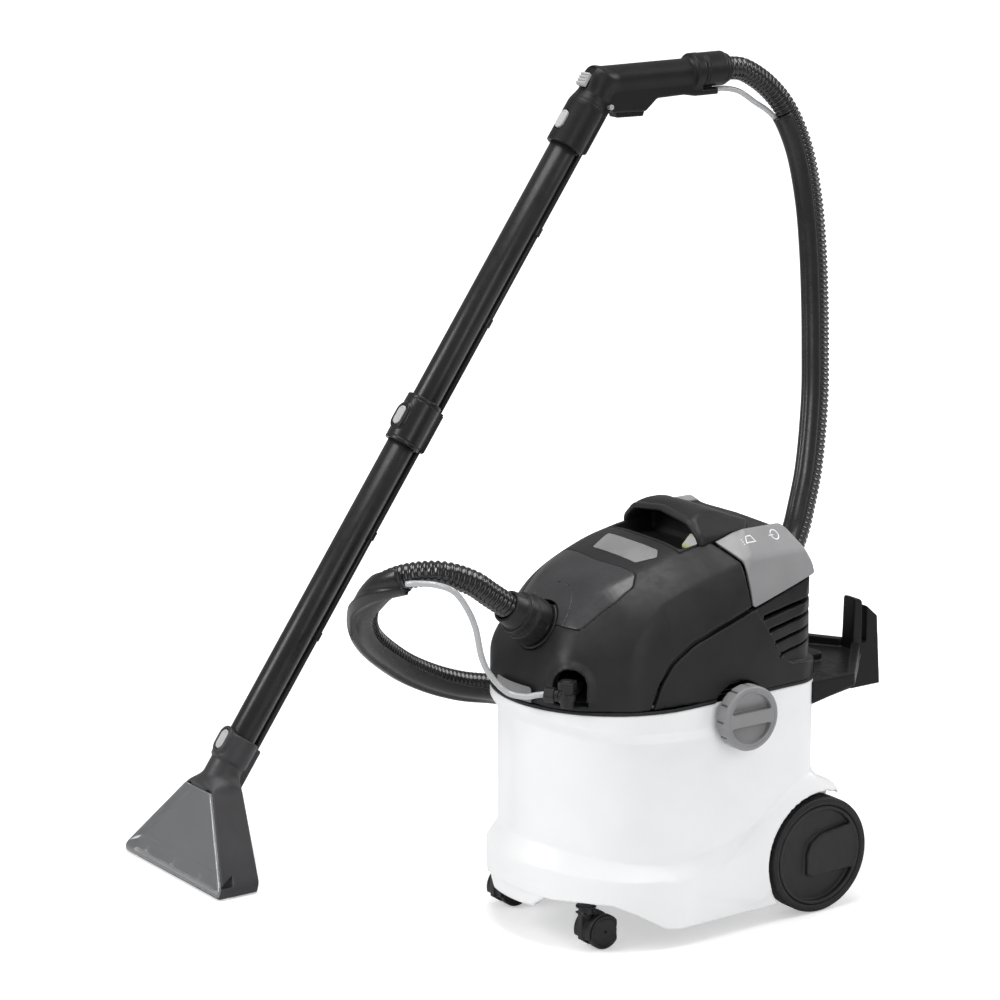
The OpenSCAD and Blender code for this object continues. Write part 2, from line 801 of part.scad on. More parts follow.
// solid form of the handle, both halves together
module handle_form() {
    translate([wand_x, 0, 0]) {
        translate([0, grip_y0, grip_z]) rotate([-90, 0, 0]) cylinder(r = grip_r, h = grip_y1 - grip_y0);
        translate([0, grip_y1 - 5, grip_z]) rotate([-90, 0, 0]) cylinder(r = 22.5, h = 14);
        translate([0, grip_y0, grip_z]) sphere(r = grip_r);
        across(-13, 13) polygon([[206, 905], [222, 884], [232, 873], [282, 871], [300, 886],
            [342, 887], [360, 884], [396, 884], [396, 892.4], [371.2, 892.4], [366, 900]]);
    }
    on_wand() {
        translate([0, 0, collar_s]) cylinder(r = 23.5, h = collar_len);
        translate([0, 0, collar_s + collar_len - 2]) cylinder(r = 19, h = 34);
        translate([-9, 10, collar_s + 6]) cube([18, 21, collar_len - 4]);
    }
}

module handle_hollow() {
    translate([wand_x, grip_y0, grip_z]) rotate([-90, 0, 0]) cylinder(r = 12.5, h = 120);
    translate([wand_x, 330, grip_z]) rotate([-90, 0, 0]) cylinder(r = 14.5 + run_gap, h = 60);
    on_wand() {
        translate([0, 0, collar_s - 1]) cylinder(r = tube_socket_r, h = 61);
        translate([0, 0, collar_s + 50]) cylinder(r = 12.5, h = 56);
        translate([0, 26, collar_s - 1]) cylinder(r = 4.4, h = 62, $fn = 32);
        // seats of the button and of the slider
        translate([0, -15, collar_s + 28]) rotate([90, 0, 0]) oval(27, 15, 20);
        translate([-8, -24, collar_s + 75]) cube([16, 6.5, 30]);
    }
    translate([wand_x - 9, 236, 860]) cube([18, 50, 27]);
    translate([wand_x, trigger_y, trigger_z]) bar_x(-11, 11, 2 + run_gap);
    translate([wand_x - 20, 226.5, 881]) rotate([0, 90, 0]) cylinder(r = 3.6, h = 40, $fn = 32);
}

module handle_shell(s) color(black) difference() {
    intersection() {
        handle_form();
        translate([wand_x + (s > 0 ? 0.02 : -100.02), 0, 700]) cube([100, 500, 300]);
    }
    handle_hollow();
}

module handle_cuff() color(black) translate([wand_x, 0, grip_z]) rotate([-90, 0, 0]) difference() {
    union() {
        translate([0, 0, 334]) cylinder(r = 14.5, h = 40);
        translate([0, 0, grip_y1 + 9.2]) cylinder(r = 22, h = 38);
        translate([0, 0, grip_y1 + 47]) cylinder(r = 19, h = 6);
    }
    translate([0, 0, 333]) cylinder(r = 11.5, h = 60);
    translate([0, 0, 392]) cylinder(r = 16.5, h = 40);
}

module spray_trigger() color(charcoal) translate([wand_x, 0, 0]) {
    across(-8.6, 8.6) polygon([[237.5, 872], [240, 866], [280, 865], [284, 877], [284, 881],
        [278, 882], [241, 880], [237.5, 878]]);
    translate([0, trigger_y, trigger_z]) bar_x(-10.8, 10.8, 2);
}

module air_slider() color(light_grey) on_wand() translate([0, 0, collar_s + 76]) {
    translate([-7.6, -25, 0]) cube([15.2, 6, 18]);
    for (i = [0 : 3]) translate([-7.6, -26.6, 2 + i * 4.2]) cube([15.2, 2, 1.6]);
}

module trigger_lock() color(light_grey)
    translate([wand_x + 8.2, 226.5, 881]) rotate([0, 90, 0]) cylinder(r = 3.5, h = 7.2, $fn = 32);

module push_button(s_at) color(light_grey) on_wand()
    translate([0, -19.6, s_at]) rotate([90, 0, 0]) oval(25, 13.6, 5.4);

// ---------- tubes and nozzle ----------

module tube_between(s0, s1) {
    difference() {
        translate([0, 0, s0]) cylinder(r = tube_r, h = s1 - s0);
        translate([0, 0, s0 - 1]) cylinder(r = tube_r - tube_wall, h = s1 - s0 + 2);
    }
}

module upper_tube() color(black) on_wand() {
    tube_between(coupler_s + coupler_len - spigot, collar_s + 50);
    for (s = [590, 720]) difference() {
        translate([-2.5, tube_r - 0.5, s]) cube([5, 5, 12]);
        translate([0, 26, s - 1]) cylinder(r = 4.6, h = 20, $fn = 24);
    }
}

module lower_tube() color(black) on_wand() {
    tube_between(-spigot, coupler_s + 12);
    for (s = [150, 290]) translate([-2.5, tube_r - 0.5, s]) cube([5, 4.6, 12]);
    difference() {
        union() {
            translate([0, 0, coupler_s]) cylinder(r = 22.5, h = coupler_len);
            translate([-8, 14, coupler_s + 4]) cube([16, 18, coupler_len - 8]);
        }
        translate([0, 0, coupler_s + 14]) cylinder(r = tube_socket_r, h = coupler_len);
        translate([0, 0, coupler_s - 1]) cylinder(r = tube_r - 0.2, h = 20);
        translate([0, 26, coupler_s - 1]) cylinder(r = 4.4, h = 70, $fn = 32);
        translate([0, -15, coupler_s + 30]) rotate([90, 0, 0]) oval(27, 15, 20);
    }
}

module spray_line(s0, s1) color(black) on_wand()
    translate([0, 26, s0]) difference() {
        cylinder(r = 4.1, h = s1 - s0, $fn = 32);
        translate([0, 0, -1]) cylinder(r = 2.4, h = s1 - s0 + 2, $fn = 24);
    }

// nozzle seen from the side and from the front
module nozzle_side(g = 0) {
    polygon([[-414.5 + g, 0 - g], [-415.5 + g, 8], [-373 + g, 112], [-328 - g, 112], [-336 - g, 84],
        [-357 - g, 12], [-360.7 - g, 0 - g]]);
}

module nozzle_front(g = 0) {
    h = nozzle_width / 2;
    polygon([[wand_x - h + g, 0 - g], [wand_x - h + g, 12], [wand_x - 24 + g, 112],
        [wand_x + 24 - g, 112], [wand_x + h - g, 12], [wand_x + h - g, 0 - g]]);
}

module nozzle_solid(g = 0) intersection() {
    across(wand_x - 150, wand_x + 150) nozzle_side(g);
    along(-430, -300) nozzle_front(g);
}

// front plane of the nozzle, moved back by a depth
module window_zone(depth) {
    across(wand_x - 150, wand_x + 150) polygon([[-430, -5], [-414.5 + depth, -5], [-415.5 + depth, 8],
        [-373 + depth, 112], [-420, 112]]);
}

module nozzle_window() color(clear) intersection() {
    nozzle_solid();
    window_zone(3);
    slab(0, 104) translate([-600, -500]) square([400, 300]);
}

module nozzle_body() color(charcoal) {
    difference() {
        union() {
            difference() {
                nozzle_solid();
                window_zone(3.2);
            }
            on_wand() translate([0, 0, -64]) cylinder(r = 21, h = 66);
            on_wand() translate([0, 0, -30]) cylinder(r = 23.5, h = 32);
            on_wand() translate([-8, 12, -56]) cube([16, 20, 56]);
        }
        // suction slot and flared channel behind the window
        difference() {
            nozzle_solid(2.6);
            window_zone(3.2);
            across(wand_x - 150, wand_x + 150) polygon([[-440, 8], [-388, 20], [-352, 112],
                [-300, 112], [-300, -20], [-440, -20]]);
        }
        across(wand_x - nozzle_width / 2 + 3, wand_x + nozzle_width / 2 - 3)
            polygon([[-411, -1], [-411, 14], [-390, 24], [-399, -1]]);
        on_wand() {
            translate([0, 0, -spigot - 0.5]) cylinder(r = tube_socket_r, h = 60);
            translate([0, 0, -70]) cylinder(r = 14, h = 40);
            translate([0, 26, -80]) cylinder(r = 4.4, h = 100, $fn = 32);
            translate([0, -15, -10]) rotate([90, 0, 0]) oval(27, 15, 20);
        }
    }
}

module spray_jet() color(black) on_wand() translate([0, 26, -72]) {
    cylinder(r = 4, h = 15.8, $fn = 32);
    translate([0, 0, -4]) cylinder(r1 = 1.5, r2 = 3, h = 4, $fn = 24);
}

// ---------- output ----------

container();
rim_seal();
dirty_water_tank();
fresh_water_tank();
rear_axle();
rear_bracket();
bracket_screws();
caster_sockets();
wheel_at(-1) tyre();  // rear_tyre_left
wheel_at(1) tyre();  // rear_tyre_right
wheel_at(-1) hub();  // rear_hub_left
wheel_at(1) hub();  // rear_hub_right
caster_fork(-1);  // caster_fork_left
caster_fork(1);  // caster_fork_right
caster_axle(-1);  // caster_axle_left
caster_axle(1);  // caster_axle_right
caster_wheels(-1);  // caster_wheels_left
caster_wheels(1);  // caster_wheels_right
head_front_cover();
head_rear_cover();
inset_panel();
carry_handle();
hand_recess();
top_cap();
badge_plate();
front_label();
inlet_socket();
head_plate();
suction_motor();
fan_housing();
water_pump();
float_cage();
spray_elbow();
cover_screws();
switch_panel(-1);  // switch_panel_left
switch_panel(1);  // switch_panel_right
release_tab();
lock_knob(-1);  // lock_knob_left
lock_knob(1);  // lock_knob_right
hose_cuff();
spray_nut();
suction_hose();
hose_sheath();
spray_hose();
handle_shell(-1);  // handle_shell_left
handle_shell(1);  // handle_shell_right
handle_cuff();
spray_trigger();
air_slider();
trigger_lock();
upper_tube();
lower_tube();
push_button(coupler_s + 30);  // coupler_button
push_button(collar_s + 28);  // handle_button
push_button(-10);  // nozzle_button
nozzle_body();
nozzle_window();
spray_line(coupler_s + 8, collar_s + 50);  // spray_line_upper
spray_line(-32, coupler_s + 6);  // spray_line_lower
spray_jet();
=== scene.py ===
"""Spot extractor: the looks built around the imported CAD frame. Working unit is the millimetre."""

import math
from concurrent.futures import ThreadPoolExecutor

import bpy
import numpy as np
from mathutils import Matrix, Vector


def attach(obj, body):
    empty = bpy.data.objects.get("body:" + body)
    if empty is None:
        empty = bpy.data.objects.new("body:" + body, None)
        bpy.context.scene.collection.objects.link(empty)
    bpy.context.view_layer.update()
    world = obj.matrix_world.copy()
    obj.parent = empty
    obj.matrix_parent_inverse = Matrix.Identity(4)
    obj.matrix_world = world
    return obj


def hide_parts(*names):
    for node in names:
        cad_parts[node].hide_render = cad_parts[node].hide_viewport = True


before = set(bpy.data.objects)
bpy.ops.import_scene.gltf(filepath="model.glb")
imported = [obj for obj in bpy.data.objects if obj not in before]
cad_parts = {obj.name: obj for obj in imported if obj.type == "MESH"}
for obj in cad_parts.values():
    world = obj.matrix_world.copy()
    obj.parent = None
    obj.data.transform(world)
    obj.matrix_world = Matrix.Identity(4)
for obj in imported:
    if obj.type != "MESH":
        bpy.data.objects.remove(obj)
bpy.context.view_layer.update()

F32 = np.float32
WORKERS = 4
CHUNK = 400000
BLOCK = 8
COARSE = 1.0
NEAR_SHARE, NEAR_MM = 1.5, 2.0  # blocks this close to the surface are sampled in full
FLAT_LIMIT = 0.05  # smallest squared slope used when a vertex is moved onto the surface

both, join = np.maximum, np.minimum

# ---------------------------------------------------------------- distance fields


def rmax(a, b, r=0.0):
    """Intersection of two solids with the edge rounded to radius r."""
    if np.isscalar(r) and r <= 0:
        return both(a, b)
    inner = join(both(a, b), -r)
    return inner + np.hypot(both(a + r, 0), both(b + r, 0))


def rmin(a, b, r=0.0):
    """Union with the inner corner filled to radius r."""
    return -rmax(-a, -b, r)


def cut(a, b, r=0.0):
    """a without b."""
    return rmax(a, -b, r)


def slab(v, v0, v1):
    return np.abs(v - F32((v0 + v1) / 2)) - F32((v1 - v0) / 2)


def disc(u, v, r, cu=0.0, cv=0.0):
    return np.hypot(u - F32(cu), v - F32(cv)) - F32(r)


def rod(u, v, w, r, w0, w1, edge=0.0):
    """Cylinder along w."""
    return rmax(np.hypot(u, v) - F32(r), slab(w, w0, w1), edge)


def brick(x, y, z, lo, hi, r=0.0):
    """Box with all edges rounded to radius r."""
    q = [np.abs(c - F32((a + b) / 2)) - F32((b - a) / 2 - r) for c, a, b in zip((x, y, z), lo, hi)]
    out = np.sqrt(sum(both(c, 0) ** 2 for c in q))
    return out + join(both(both(q[0], q[1]), q[2]), 0) - F32(r)


def fillet(pts, r, steps=4):
    """Polygon with its corners rounded; r is one radius or one for each corner."""
    out, n = [], len(pts)
    radii = [r] * n if np.isscalar(r) else r
    for i in range(n):
        a, b, c = (np.array(pts[(i + k) % n], float) for k in (-1, 0, 1))
        u, v = a - b, c - b
        lu, lv = np.hypot(*u), np.hypot(*v)
        u, v = u / lu, v / lv
        half = math.acos(max(-1.0, min(1.0, float(u @ v)))) / 2
        if radii[i] <= 0 or half > math.radians(88):
            out.append(b)
            continue
        t = min(radii[i] / math.tan(half), 0.48 * lu, 0.48 * lv)
        rr = t * math.tan(half)
        centre = b + (u + v) / np.hypot(*(u + v)) * rr / math.sin(half)
        p0, p1 = b + u * t - centre, b + v * t - centre
        a0, a1 = math.atan2(p0[1], p0[0]), math.atan2(p1[1], p1[0])
        turn = (a1 - a0 + math.pi) % (2 * math.pi) - math.pi
        for k in range(steps + 1):
            ang = a0 + turn * k / steps
            out.append(centre + rr * np.array([math.cos(ang), math.sin(ang)]))
    return [tuple(p) for p in out]


def poly(u, v, pts):
    """Signed distance to a closed polygon."""
    d = np.full(u.shape, 1e12, F32)
    inside = np.zeros(u.shape, bool)
    n = len(pts)
    for i in range(n):
        ax, ay = pts[i]
        bx, by = pts[i - 1]
        ex, ey = bx - ax, by - ay
        wu, wv = u - F32(ax), v - F32(ay)
        t = np.clip((wu * F32(ex) + wv * F32(ey)) * F32(1 / max(ex * ex + ey * ey, 1e-9)), 0, 1)
        d = join(d, (wu - t * F32(ex)) ** 2 + (wv - t * F32(ey)) ** 2)
        if ay != by:
            crosses = (v >= F32(min(ay, by))) & (v < F32(max(ay, by)))
            side = wu < wv * F32(ex / ey)
            inside ^= crosses & side
    return np.where(inside, -np.sqrt(d), np.sqrt(d)).astype(F32)


def planes(u, v, pts, r):
    """Convex polygon given counter-clockwise, its corners rounded to radius r."""
    d = None
    n = len(pts)
    for i in range(n):
        ax, ay = pts[i]
        bx, by = pts[(i + 1) % n]
        ex, ey = bx - ax, by - ay
        length = math.hypot(ex, ey)
        side = (u - F32(ax)) * F32(ey / length) - (v - F32(ay)) * F32(ex / length)
        d = side if d is None else rmax(d, side, r)
    return d


def oval(u, v, length, width):
    """Stadium with its long side along v."""
    q = both(np.abs(v) - F32((length - width) / 2), 0)
    return np.hypot(u, q) - F32(width / 2)


def turn(u, v, n):
    """Angle from the nearest of n directions spread evenly around the axis."""
    half = math.pi / n
    return np.mod(np.arctan2(v, u) + half, 2 * half) - half


def stripes(v, pitch, half):
    """Slabs of half thickness half, one in the middle of each pitch."""
    return np.abs(np.mod(v, pitch) - pitch / 2) - half


def smooth(a, b, v):
    t = np.clip((v - F32(a)) / F32(b - a), 0, 1)
    return t * t * (3 - 2 * t)


def local(p, origin, axes):
    return np.asarray(axes, F32) @ (p - np.asarray(origin, F32)[:, None])


# ---------------------------------------------------------------- meshing


def spacing(lo, hi, h, dense=()):
    """Grid lines from lo to hi, step h; dense holds (from, to, step) stretches with their own step."""
    lines, v = [lo], lo
    while v < hi:
        step = h
        for a, b, fine in dense:
            if a <= v < b:
                step = fine
        v += step * COARSE
        lines.append(v)
    return np.array(lines, F32)


def sample(f, xs, ys, zs):
    """Field on the grid, computed only in the blocks near the surface."""
    shape = (len(xs), len(ys), len(zs))
    starts = [np.arange(0, n, BLOCK) for n in shape]
    mids, halves = [], []
    for c, s in zip((xs, ys, zs), starts):
        ends = join(s + BLOCK, len(c) - 1)
        mids.append((c[s] + c[ends]) / 2)
        halves.append((c[ends] - c[s]) / 2)
    grid = np.stack(np.meshgrid(*mids, indexing="ij")).reshape(3, -1).astype(F32)
    reach = np.sqrt(sum(h**2 for h in np.meshgrid(*halves, indexing="ij"))).ravel()
    value = f(grid)
    near = (np.abs(value) < reach * NEAR_SHARE + NEAR_MM).reshape([len(s) for s in starts])
    value = value.reshape(near.shape)
    for axis in range(3):
        moved = np.roll(near, 1, axis)
        index = [slice(None)] * 3
        index[axis] = 0
        moved[tuple(index)] = False
        near = near | moved
    full = np.repeat(np.repeat(np.repeat(value, BLOCK, 0), BLOCK, 1), BLOCK, 2)
    full = np.ascontiguousarray(full[: shape[0], : shape[1], : shape[2]])
    mask = np.repeat(np.repeat(np.repeat(near, BLOCK, 0), BLOCK, 1), BLOCK, 2)
    mask = mask[: shape[0], : shape[1], : shape[2]]
    where = np.flatnonzero(mask)
    i, j, k = np.unravel_index(where, shape)
    flat = full.ravel()
    for a in range(0, len(where), CHUNK):
        part = slice(a, a + CHUNK)
        flat[where[part]] = f(np.stack([xs[i[part]], ys[j[part]], zs[k[part]]]))
    return flat.reshape(shape)


CORNERS = [(a, b, c) for a in (0, 1) for b in (0, 1) for c in (0, 1)]
EDGES = [(p, q) for p in CORNERS for q in CORNERS if p < q and sum(abs(s - t) for s, t in zip(p, q)) == 1]
TETRA = np.array([(1, -1, -1), (-1, -1, 1), (-1, 1, -1), (1, 1, 1)], F32)


def surface(f, xs, ys, zs):
    """Surface-net mesh of the zero level of f, its vertices moved onto the level."""
    field = sample(f, xs, ys, zs)
    solid = field < 0
    count = np.zeros([n - 1 for n in solid.shape], np.uint8)
    n0, n1, n2 = count.shape
    for a, b, c in CORNERS:
        count += solid[a : a + n0, b : b + n1, c : c + n2]
    active = (count > 0) & (count < 8)
    ids = np.flatnonzero(active)
    number = np.full(active.size, -1, np.int32)
    number[ids] = np.arange(len(ids), dtype=np.int32)
    number = number.reshape(active.shape)
    i, j, k = np.unravel_index(ids, active.shape)
    pos, hits = np.zeros((3, len(ids)), F32), np.zeros(len(ids), F32)
    for p, q in EDGES:
        fa = field[i + p[0], j + p[1], k + p[2]]
        fb = field[i + q[0], j + q[1], k + q[2]]
        cross = (fa < 0) != (fb < 0)
        t = np.where(cross, fa / np.where(cross, fa - fb, 1), 0)
        for axis, (c, n) in enumerate(((xs, i), (ys, j), (zs, k))):
            ca, cb = c[n + p[axis]], c[n + q[axis]]
            pos[axis] += np.where(cross, ca + (cb - ca) * t, 0)
        hits += cross
    pos /= hits
    faces = []
    for axis in range(3):
        low = [slice(None)] * 3
        high = [slice(None)] * 3
        low[axis], high[axis] = slice(0, -1), slice(1, None)
        u, v = [a for a in range(3) if a != axis]
        for a in (u, v):
            low[a] = high[a] = slice(1, -1)
        first, second = solid[tuple(low)], solid[tuple(high)]
        change = np.flatnonzero(first != second)
        at = list(np.unravel_index(change, first.shape))
        at[u], at[v] = at[u] + 1, at[v] + 1
        ring = []
        for du, dv in ((-1, -1), (0, -1), (0, 0), (-1, 0)):
            cell = list(at)
            cell[u], cell[v] = at[u] + du, at[v] + dv
            ring.append(number[tuple(cell)])
        quad = np.stack(ring, 1)
        flip = first.ravel()[change] if axis != 1 else ~first.ravel()[change]
        quad[~flip] = quad[~flip][:, ::-1]
        faces.append(quad)
    faces = np.concatenate(faces)
    step = min(float(np.diff(c).min()) for c in (xs, ys, zs))
    eps = F32(0.25 * step)
    for _ in range(2):
        here = f(pos)
        grad = np.zeros_like(pos)
        for t in TETRA:
            grad += t[:, None] * f(pos + t[:, None] * eps)
        grad /= 4 * eps
        square = both((grad**2).sum(0), FLAT_LIMIT)
        move = -here / square * grad
        size = np.sqrt((move**2).sum(0))
        move *= join(1, F32(step) / both(size, 1e-6))
        pos += move
    return pos.T, faces


# ---------------------------------------------------------------- swept meshes


def curve(points, per):
    """Smooth curve through the points, per samples for each stretch."""
    p = np.array(points, float)
    p = np.vstack([p[:1], p, p[-1:]])
    out = []
    for i in range(1, len(p) - 2):
        a, b, c, d = p[i - 1 : i + 3]
        for t in np.arange(per) / per:
            bend, twist = 2 * a - 5 * b + 4 * c - d, 3 * b - a - 3 * c + d
            out.append(0.5 * (2 * b + (c - a) * t + bend * t**2 + twist * t**3))
    out.append(p[-2])
    return np.array(out)


def resample(points, step):
    """The same line with even steps."""
    length = np.concatenate([[0], np.cumsum(np.linalg.norm(np.diff(points, axis=0), axis=1))])
    n = max(2, int(round(length[-1] / step)))
    at = np.linspace(0, length[-1], n + 1)
    return np.stack([np.interp(at, length, points[:, k]) for k in range(3)], 1)


def sweep(points, sides, profiles):
    """Tube through the points; profiles is (n, m, 2) or (m, 2), sides points along their first axis."""
    n = len(points)
    tangent = np.gradient(points, axis=0)
    tangent /= np.linalg.norm(tangent, axis=1)[:, None]
    u = sides - tangent * (sides * tangent).sum(1)[:, None]
    u /= np.linalg.norm(u, axis=1)[:, None]
    v = np.cross(tangent, u)
    profiles = np.broadcast_to(profiles, (n,) + np.shape(profiles)[-2:])
    m = profiles.shape[1]
    verts = points[:, None] + u[:, None] * profiles[:, :, :1] + v[:, None] * profiles[:, :, 1:]
    i, k = np.meshgrid(np.arange(n - 1), np.arange(m), indexing="ij")
    a, b = i * m + k, i * m + (k + 1) % m
    faces = list(np.stack([a, b, b + m, a + m], -1).reshape(-1, 4))
    faces += [np.arange(m)[::-1], (n - 1) * m + np.arange(m)]
    return verts.reshape(-1, 3), faces


def circle(r, m):
    a = np.arange(m) * 2 * math.pi / m
    return np.stack([r * np.cos(a), r * np.sin(a)], 1)


def lathe(profile, m=96):
    """Solid of revolution about +Z from a closed (radius, height) outline."""
    prof = np.array(profile, float)
    a = np.arange(m) * 2 * math.pi / m
    verts = np.stack(
        [prof[None, :, 0] * np.cos(a)[:, None], prof[None, :, 0] * np.sin(a)[:, None],
            np.broadcast_to(prof[:, 1], (m, len(prof)))],
        -1,
    )
    i, k = np.meshgrid(np.arange(m), np.arange(len(prof)), indexing="ij")
    n = len(prof)
    a0, b0 = i * n + k, i * n + (k + 1) % n
    a1, b1 = (i + 1) % m * n + k, (i + 1) % m * n + (k + 1) % n
    return verts.reshape(-1, 3), np.stack([a0, a1, b1, b0], -1).reshape(-1, 4)


# ---------------------------------------------------------------- materials


def plastic(name, colour, rough, grain=0.15, grain_mm=0.5, vary=0.12, coat=0.0, metal=0.0, edge_highlight=0.12,
    clear=0.0, shine=0.5):
    """Procedural finish: fine moulded grain, slow changes of tone and gloss, and convex edges painted
    lighter as a highlight.
    """
    m = bpy.data.materials.new(name)
    m.use_nodes = True
    nodes, links = m.node_tree.nodes, m.node_tree.links
    shader = nodes["Principled BSDF"]
    where = nodes.new("ShaderNodeTexCoord").outputs["Object"]

    def noise(size_mm, detail=3.0):
        n = nodes.new("ShaderNodeTexNoise")
        n.inputs["Scale"].default_value = 1000.0 / size_mm
        n.inputs["Detail"].default_value = detail
        links.new(where, n.inputs["Vector"])
        return n.outputs[0]

    def span(value, low, high, start=0.3, end=0.7):
        n = nodes.new("ShaderNodeMapRange")
        for key, number in (("From Min", start), ("From Max", end), ("To Min", low), ("To Max", high)):
            n.inputs[key].default_value = number
        links.new(value, n.inputs["Value"])
        return n.outputs[0]

    def mix(share, first, second):
        n = nodes.new("ShaderNodeMix")
        n.data_type = "RGBA"
        for socket, value in ((n.inputs[0], share), (n.inputs[6], first), (n.inputs[7], second)):
            if isinstance(value, (float, tuple)):
                socket.default_value = value
            else:
                links.new(value, socket)
        return n.outputs[2]

    def tone(k):
        return tuple(min(1.0, c * k) for c in colour) + (1.0,)

    patches = noise(38.0)
    base = mix(span(patches, 0.0, 1.0), tone(1 - vary), tone(1 + vary))
    # painted highlight: this lighter colour is mixed onto convex edges (by pointiness), standing in for
    # lamp light caught on rounded edges
    light = tuple(min(1.0, c * 1.35 + 0.02) for c in colour) + (1.0,)
    edges = nodes.new("ShaderNodeNewGeometry").outputs["Pointiness"]
    base = mix(span(edges, 0.0, edge_highlight, 0.53, 0.62), base, light)
    links.new(base, shader.inputs["Base Color"])
    links.new(span(noise(9.0), rough * 0.86, min(1.0, rough * 1.14)), shader.inputs["Roughness"])
    bump = nodes.new("ShaderNodeBump")
    bump.inputs["Strength"].default_value = grain
    bump.inputs["Distance"].default_value = 0.0003
    links.new(noise(grain_mm, 2.0), bump.inputs["Height"])
    links.new(bump.outputs[0], shader.inputs["Normal"])
    shader.inputs["Metallic"].default_value = metal
    shader.inputs["Coat Weight"].default_value = coat
    shader.inputs["Coat Roughness"].default_value = 0.12
    shader.inputs["Transmission Weight"].default_value = clear
    shader.inputs["IOR"].default_value = 1.46
    shader.inputs["Specular IOR Level"].default_value = shine
    return m


MAT = {}
for name, values, more in (
    ("white_shell", ((0.88, 0.885, 0.89), 0.36, 0.04, 0.8, 0.012, 0.15), dict(edge_highlight=0.05)),
    ("black_seal", ((0.012, 0.012, 0.013), 0.5, 0.2), dict(shine=0.34)),
    ("tank_grey", ((0.42, 0.43, 0.44), 0.42, 0.1), {}),
    ("tank_clear", ((0.72, 0.78, 0.8), 0.22, 0.05, 1.5, 0.03), dict(clear=0.6)),
    ("steel", ((0.56, 0.57, 0.58), 0.28, 0.12, 0.3, 0.05), dict(metal=1.0)),
    ("bracket_black", ((0.008, 0.008, 0.0085), 0.42, 0.2, 0.35), dict(shine=0.22)),
    ("tyre_black", ((0.014, 0.014, 0.015), 0.56, 0.3, 0.4), dict(shine=0.34)),
    ("hub_black", ((0.017, 0.017, 0.018), 0.46, 0.25, 0.35), dict(shine=0.34)),
    ("caster_black", ((0.013, 0.013, 0.014), 0.4, 0.15, 0.4), dict(shine=0.34)),
    ("head_black", ((0.018, 0.018, 0.019), 0.42, 0.22, 0.35), dict(shine=0.26)),
    ("inset_grey", ((0.033, 0.033, 0.035), 0.3, 0.02, 0.8), {}),
    ("badge_grey", ((0.2, 0.2, 0.2), 0.36, 0.08, 0.4), {}),
    ("inlet_black", ((0.014, 0.014, 0.015), 0.38, 0.15, 0.35), dict(shine=0.34)),
    ("inner_grey", ((0.12, 0.12, 0.125), 0.5, 0.2), {}),
    ("panel_grey", ((0.25, 0.25, 0.255), 0.42, 0.15, 0.35, 0.05), {}),
    ("sign_white", ((0.78, 0.78, 0.78), 0.45, 0.05), {}),
    ("tab_lime", ((0.72, 0.78, 0.42), 0.36, 0.06, 0.5, 0.05), {}),
    ("knob_grey", ((0.25, 0.25, 0.255), 0.4, 0.15, 0.35, 0.05), {}),
    ("hose_black", ((0.008, 0.008, 0.009), 0.16, 0.05, 1.2), dict(coat=0.4)),
    ("sheath_grey", ((0.012, 0.012, 0.013), 0.3, 0.08, 0.8), dict(coat=0.05, shine=0.4)),
    ("spray_clear", ((0.62, 0.63, 0.64), 0.12, 0.03, 1.0, 0.05), dict(coat=0.6, clear=0.35)),
    ("grip_black", ((0.01, 0.01, 0.0105), 0.4, 0.2, 0.35), dict(shine=0.25)),
    ("button_grey", ((0.4, 0.4, 0.405), 0.4, 0.12, 0.4, 0.05), {}),
    ("tube_black", ((0.013, 0.013, 0.014), 0.3, 0.02, 0.8), dict(shine=0.34)),
    ("nozzle_dark", ((0.035, 0.035, 0.037), 0.42, 0.18, 0.35), dict(shine=0.34)),
    ("window_clear", ((0.8, 0.81, 0.82), 0.08, 0.02, 1.5, 0.03), dict(coat=0.3, clear=0.9)),
):
    MAT[name] = plastic(name, *values, **more)


# ---------------------------------------------------------------- pieces

SIDES = (("left", -1), ("right", 1))
jobs = []


def add_mesh(name, body, nodes, slot, verts, faces, look=None):
    mesh = bpy.data.meshes.new(name)
    if isinstance(faces, np.ndarray):
        mesh.vertices.add(len(verts))
        mesh.vertices.foreach_set("co", (np.asarray(verts, F32) * F32(0.001)).ravel())
        mesh.loops.add(faces.size)
        mesh.loops.foreach_set("vertex_index", faces.ravel().astype(np.int32))
        mesh.polygons.add(len(faces))
        mesh.polygons.foreach_set("loop_start", np.arange(0, faces.size, 4, dtype=np.int32))
        mesh.update(calc_edges=True)
    else:
        mesh.from_pydata((np.asarray(verts) * 0.001).tolist(), [], [list(map(int, f)) for f in faces])
        mesh.update()
    mesh.polygons.foreach_set("use_smooth", np.ones(len(mesh.polygons), bool))
    mesh.materials.append(MAT[look or slot])
    piece = bpy.data.objects.new(name, mesh)
    bpy.context.scene.collection.objects.link(piece)
    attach(piece, body)
    if nodes:
        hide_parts(*nodes)
    return piece


def solid(name, body, slot, f, lo, hi, h, nodes=None, dense=((), (), ()), look=None):
    """Queues a piece whose shape is where f is negative; nodes are the CAD pieces it stands for.

    look names a finish other than the slot's own.
    """
    jobs.append((name, body, [name] if nodes is None else nodes, slot, f, lo, hi, h, dense, look))


def pair(name, body, slot, f, inner, outer, h, **more):
    """Queues a left and a right piece; the box corners are those of the right one."""
    for side, s in SIDES:
        x0, x1 = sorted((s * inner[0], s * outer[0]))
        lo, hi = (x0,) + inner[1:], (x1,) + outer[1:]
        solid(name + side, body + side, slot, lambda p, s=s: f(p, s), lo, hi, h, **more)


def around(at, half):
    """Opposite corners of a box centred at a point."""
    return tuple(at - np.array(half)), tuple(at + np.array(half))


